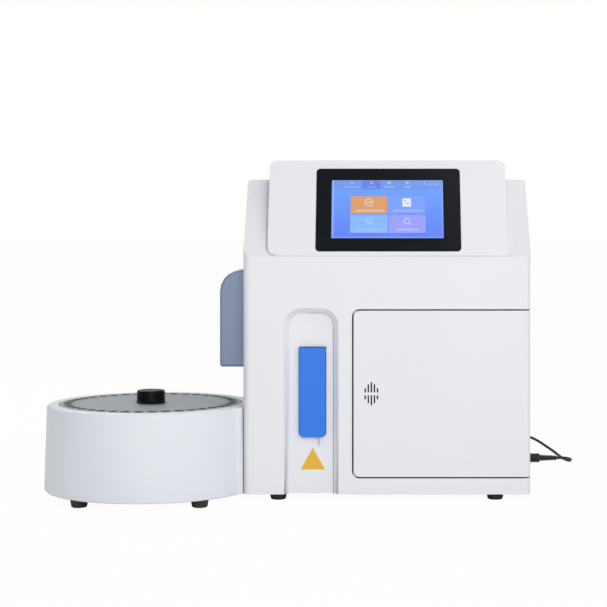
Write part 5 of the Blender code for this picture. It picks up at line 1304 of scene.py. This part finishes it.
def coil_line(radius):
    """Wound inwards on the table, up a layer, and outwards again, with straight ends."""
    count, climb = round(COIL_TURNS * COIL_STEPS), COIL_STEPS // 2
    inner = COIL_RADIUS - COIL_TURNS * COIL_PITCH
    points = []
    for step in range(2 * count + climb + 1):
        turn = 2 * math.pi * step / COIL_STEPS
        if step <= count:
            reach, rise = COIL_RADIUS - COIL_PITCH * step / COIL_STEPS, 0
        elif step <= count + climb:
            share = (step - count) / climb
            reach, rise = inner - COIL_PITCH * math.sin(math.pi * share) / 4, COIL_PITCH * share
        else:
            reach, rise = inner + COIL_PITCH * (step - count - climb) / COIL_STEPS, COIL_PITCH
        points.append(COIL_CENTRE + Vector((-reach * math.sin(turn), -reach * math.cos(turn), rise)))
    first = (points[0] - points[1]).normalized() * 2 * radius
    last = (points[-1] - points[-2]).normalized() * 2 * radius
    return [points[0] + first, *points, points[-1] + last]


def even_line(route, spacing):
    """Points at an even spacing on a smooth curve through a route."""
    ends = [2 * route[0] - route[1], *route, 2 * route[-1] - route[-2]]
    fine = []
    for a, b, c, d in zip(ends, ends[1:], ends[2:], ends[3:]):
        for step in range(12):
            t = step / 12
            fine.append((2 * b + (c - a) * t + (2 * a - 5 * b + 4 * c - d) * t ** 2
                         + (3 * b - a - 3 * c + d) * t ** 3) / 2)
    fine.append(route[-1])
    lengths = [0]
    for one, two in zip(fine, fine[1:]):
        lengths.append(lengths[-1] + (two - one).length)
    count = max(2, round(lengths[-1] / spacing))
    line, index = [], 0
    for step in range(count + 1):
        wanted = lengths[-1] * step / count
        while index < len(fine) - 2 and lengths[index + 1] < wanted:
            index += 1
        share = (wanted - lengths[index]) / (lengths[index + 1] - lengths[index])
        line.append(fine[index].lerp(fine[index + 1], min(1, max(0, share))))
    return line


def cord_points(radius):
    """The whole cord as one line, from the plug's end to the adapter's face."""
    coil = coil_line(radius)
    into = (coil[1] - coil[0]).normalized()
    out = (coil[-1] - coil[-2]).normalized()
    lead = 8 * radius
    run = even_line([PLUG_END, PLUG_END + Vector((3 * radius, 0, 0)), *[Vector(p) for p in ROUTE],
                     coil[0] - into * lead, coil[0] - into * SEAT], 5 * radius)
    run[1].yz = PLUG_END.yz
    tail = even_line([coil[-1] + out * SEAT, coil[-1] + out * lead, ADAPTER_FACE + Vector((lead, 0, 0)),
                      ADAPTER_FACE + Vector((SEAT, 0, 0))], 5 * radius)
    return [ORIGIN + point for point in (*run[:-1], *coil, *tail[1:])]


class ANALYZER_OT_stage(bpy.types.Operator):
    """Lay the floor, light the analyzer and set the camera up"""

    bl_idname = "analyzer.stage"
    bl_label = "Stage"

    def execute(self, context):
        stage = context.scene.analyzer_stage
        floor = start("plane", "floor", size=80, location=(0, 0, 0))
        paint = Finish("pale_floor")
        seen = paint.node("ShaderNodeLightPath", output="Is Camera Ray")
        plain = paint.node("ShaderNodeBsdfDiffuse", values={"Color": (0.90, 0.90, 0.90)})
        white = paint.node("ShaderNodeEmission", values={"Color": (1.0, 1.0, 1.0), "Strength": 1.0})
        both = paint.node("ShaderNodeMixShader", values={0: seen * 0.97, 1: plain, 2: white})
        floor.data.materials.append(paint.close(both))

        world = Finish("plain_white", "worlds")
        context.scene.world = world.owner
        seen = world.node("ShaderNodeLightPath", output="Is Camera Ray")
        sky = world.node("ShaderNodeBackground", values={"Color": (0.95, 0.97, 1.0), "Strength": stage.sky})
        bright = world.node("ShaderNodeBackground", values={"Color": (1.0, 1.0, 1.0), "Strength": 1.0})
        both = world.node("ShaderNodeMixShader", values={0: seen, 1: sky, 2: bright})
        world.close(both, "ShaderNodeOutputWorld")

        for name, place, size, power, tone in (
                ("key", (1.8, -2.0, 2.1), 2.8, stage.key, (1.0, 0.985, 0.96)),
                ("front", (0.4, -3.1, 1.2), 2.6, stage.front, (1.0, 0.99, 0.98)),
                ("fill", (-2.0, -1.6, 1.2), 1.8, stage.fill, (0.86, 0.93, 1.0)),
                ("back", (-0.9, 1.4, 2.0), 1.6, stage.back, (1.0, 1.0, 1.0))):
            lamp = bpy.data.lights.new(name, "AREA")
            lamp.energy, lamp.size, lamp.color = power, size, tone
            holder = bpy.data.objects.new(name, lamp)
            holder.location = place
            holder.rotation_euler = (Vector((0.0, 0.0, 0.2)) - Vector(place)).to_track_quat("-Z", "Y").to_euler()
            context.scene.collection.objects.link(holder)

        camera = bpy.data.cameras.new("front_view")
        camera.lens, camera.sensor_width = stage.lens, 36
        camera.shift_x, camera.shift_y = stage.slide
        camera.clip_start, camera.clip_end = 0.05, 200
        holder = bpy.data.objects.new("front_view", camera)
        holder.location = at(*stage.eye)
        holder.rotation_euler = (math.radians(90), 0, 0)
        context.scene.collection.objects.link(holder)
        context.scene.camera = holder
        context.scene.view_settings.view_transform = "Standard"
        return {"FINISHED"}


makers = (
    ANALYZER_OT_stage, ANALYZER_OT_cord, ANALYZER_OT_front_shell, ANALYZER_OT_rear_shell, ANALYZER_OT_display,
    ANALYZER_OT_sample_probe, ANALYZER_OT_reagent_door, ANALYZER_OT_compartment, ANALYZER_OT_tray_housing,
    ANALYZER_OT_sample_tray, ANALYZER_OT_sampling_arm, ANALYZER_OT_printer, ANALYZER_OT_electronics,
    ANALYZER_OT_feet,
)


class ANALYZER_PT_panel(bpy.types.Panel):
    """The analyzer's tab in the sidebar"""

    bl_idname = "ANALYZER_PT_panel"
    bl_label = "Bench electrolyte analyzer"
    bl_space_type = "VIEW_3D"
    bl_region_type = "UI"
    bl_category = "Analyzer"

    def draw(self, context):
        for maker in makers:
            self.layout.operator(maker.bl_idname)
        for group in (context.scene.analyzer_sizes, context.scene.analyzer_colours, context.scene.analyzer_stage):
            box = self.layout.box()
            for name in group.__annotations__:
                box.prop(group, name)


groups = {"analyzer_sizes": AnalyzerSizes, "analyzer_colours": AnalyzerColours, "analyzer_stage": AnalyzerStage}


def register():
    for kind in (*groups.values(), *makers, ANALYZER_PT_panel):
        bpy.utils.register_class(kind)
    for name, group in groups.items():
        setattr(bpy.types.Scene, name, bpy.props.PointerProperty(type=group))


def unregister():
    for name in groups:
        delattr(bpy.types.Scene, name)
    for kind in (ANALYZER_PT_panel, *reversed(makers), *groups.values()):
        bpy.utils.unregister_class(kind)


def main():
    register()
    for maker in makers:
        group, name = maker.bl_idname.split(".")
        getattr(getattr(bpy.ops, group), name)()


if __name__ == "__main__":
    main()
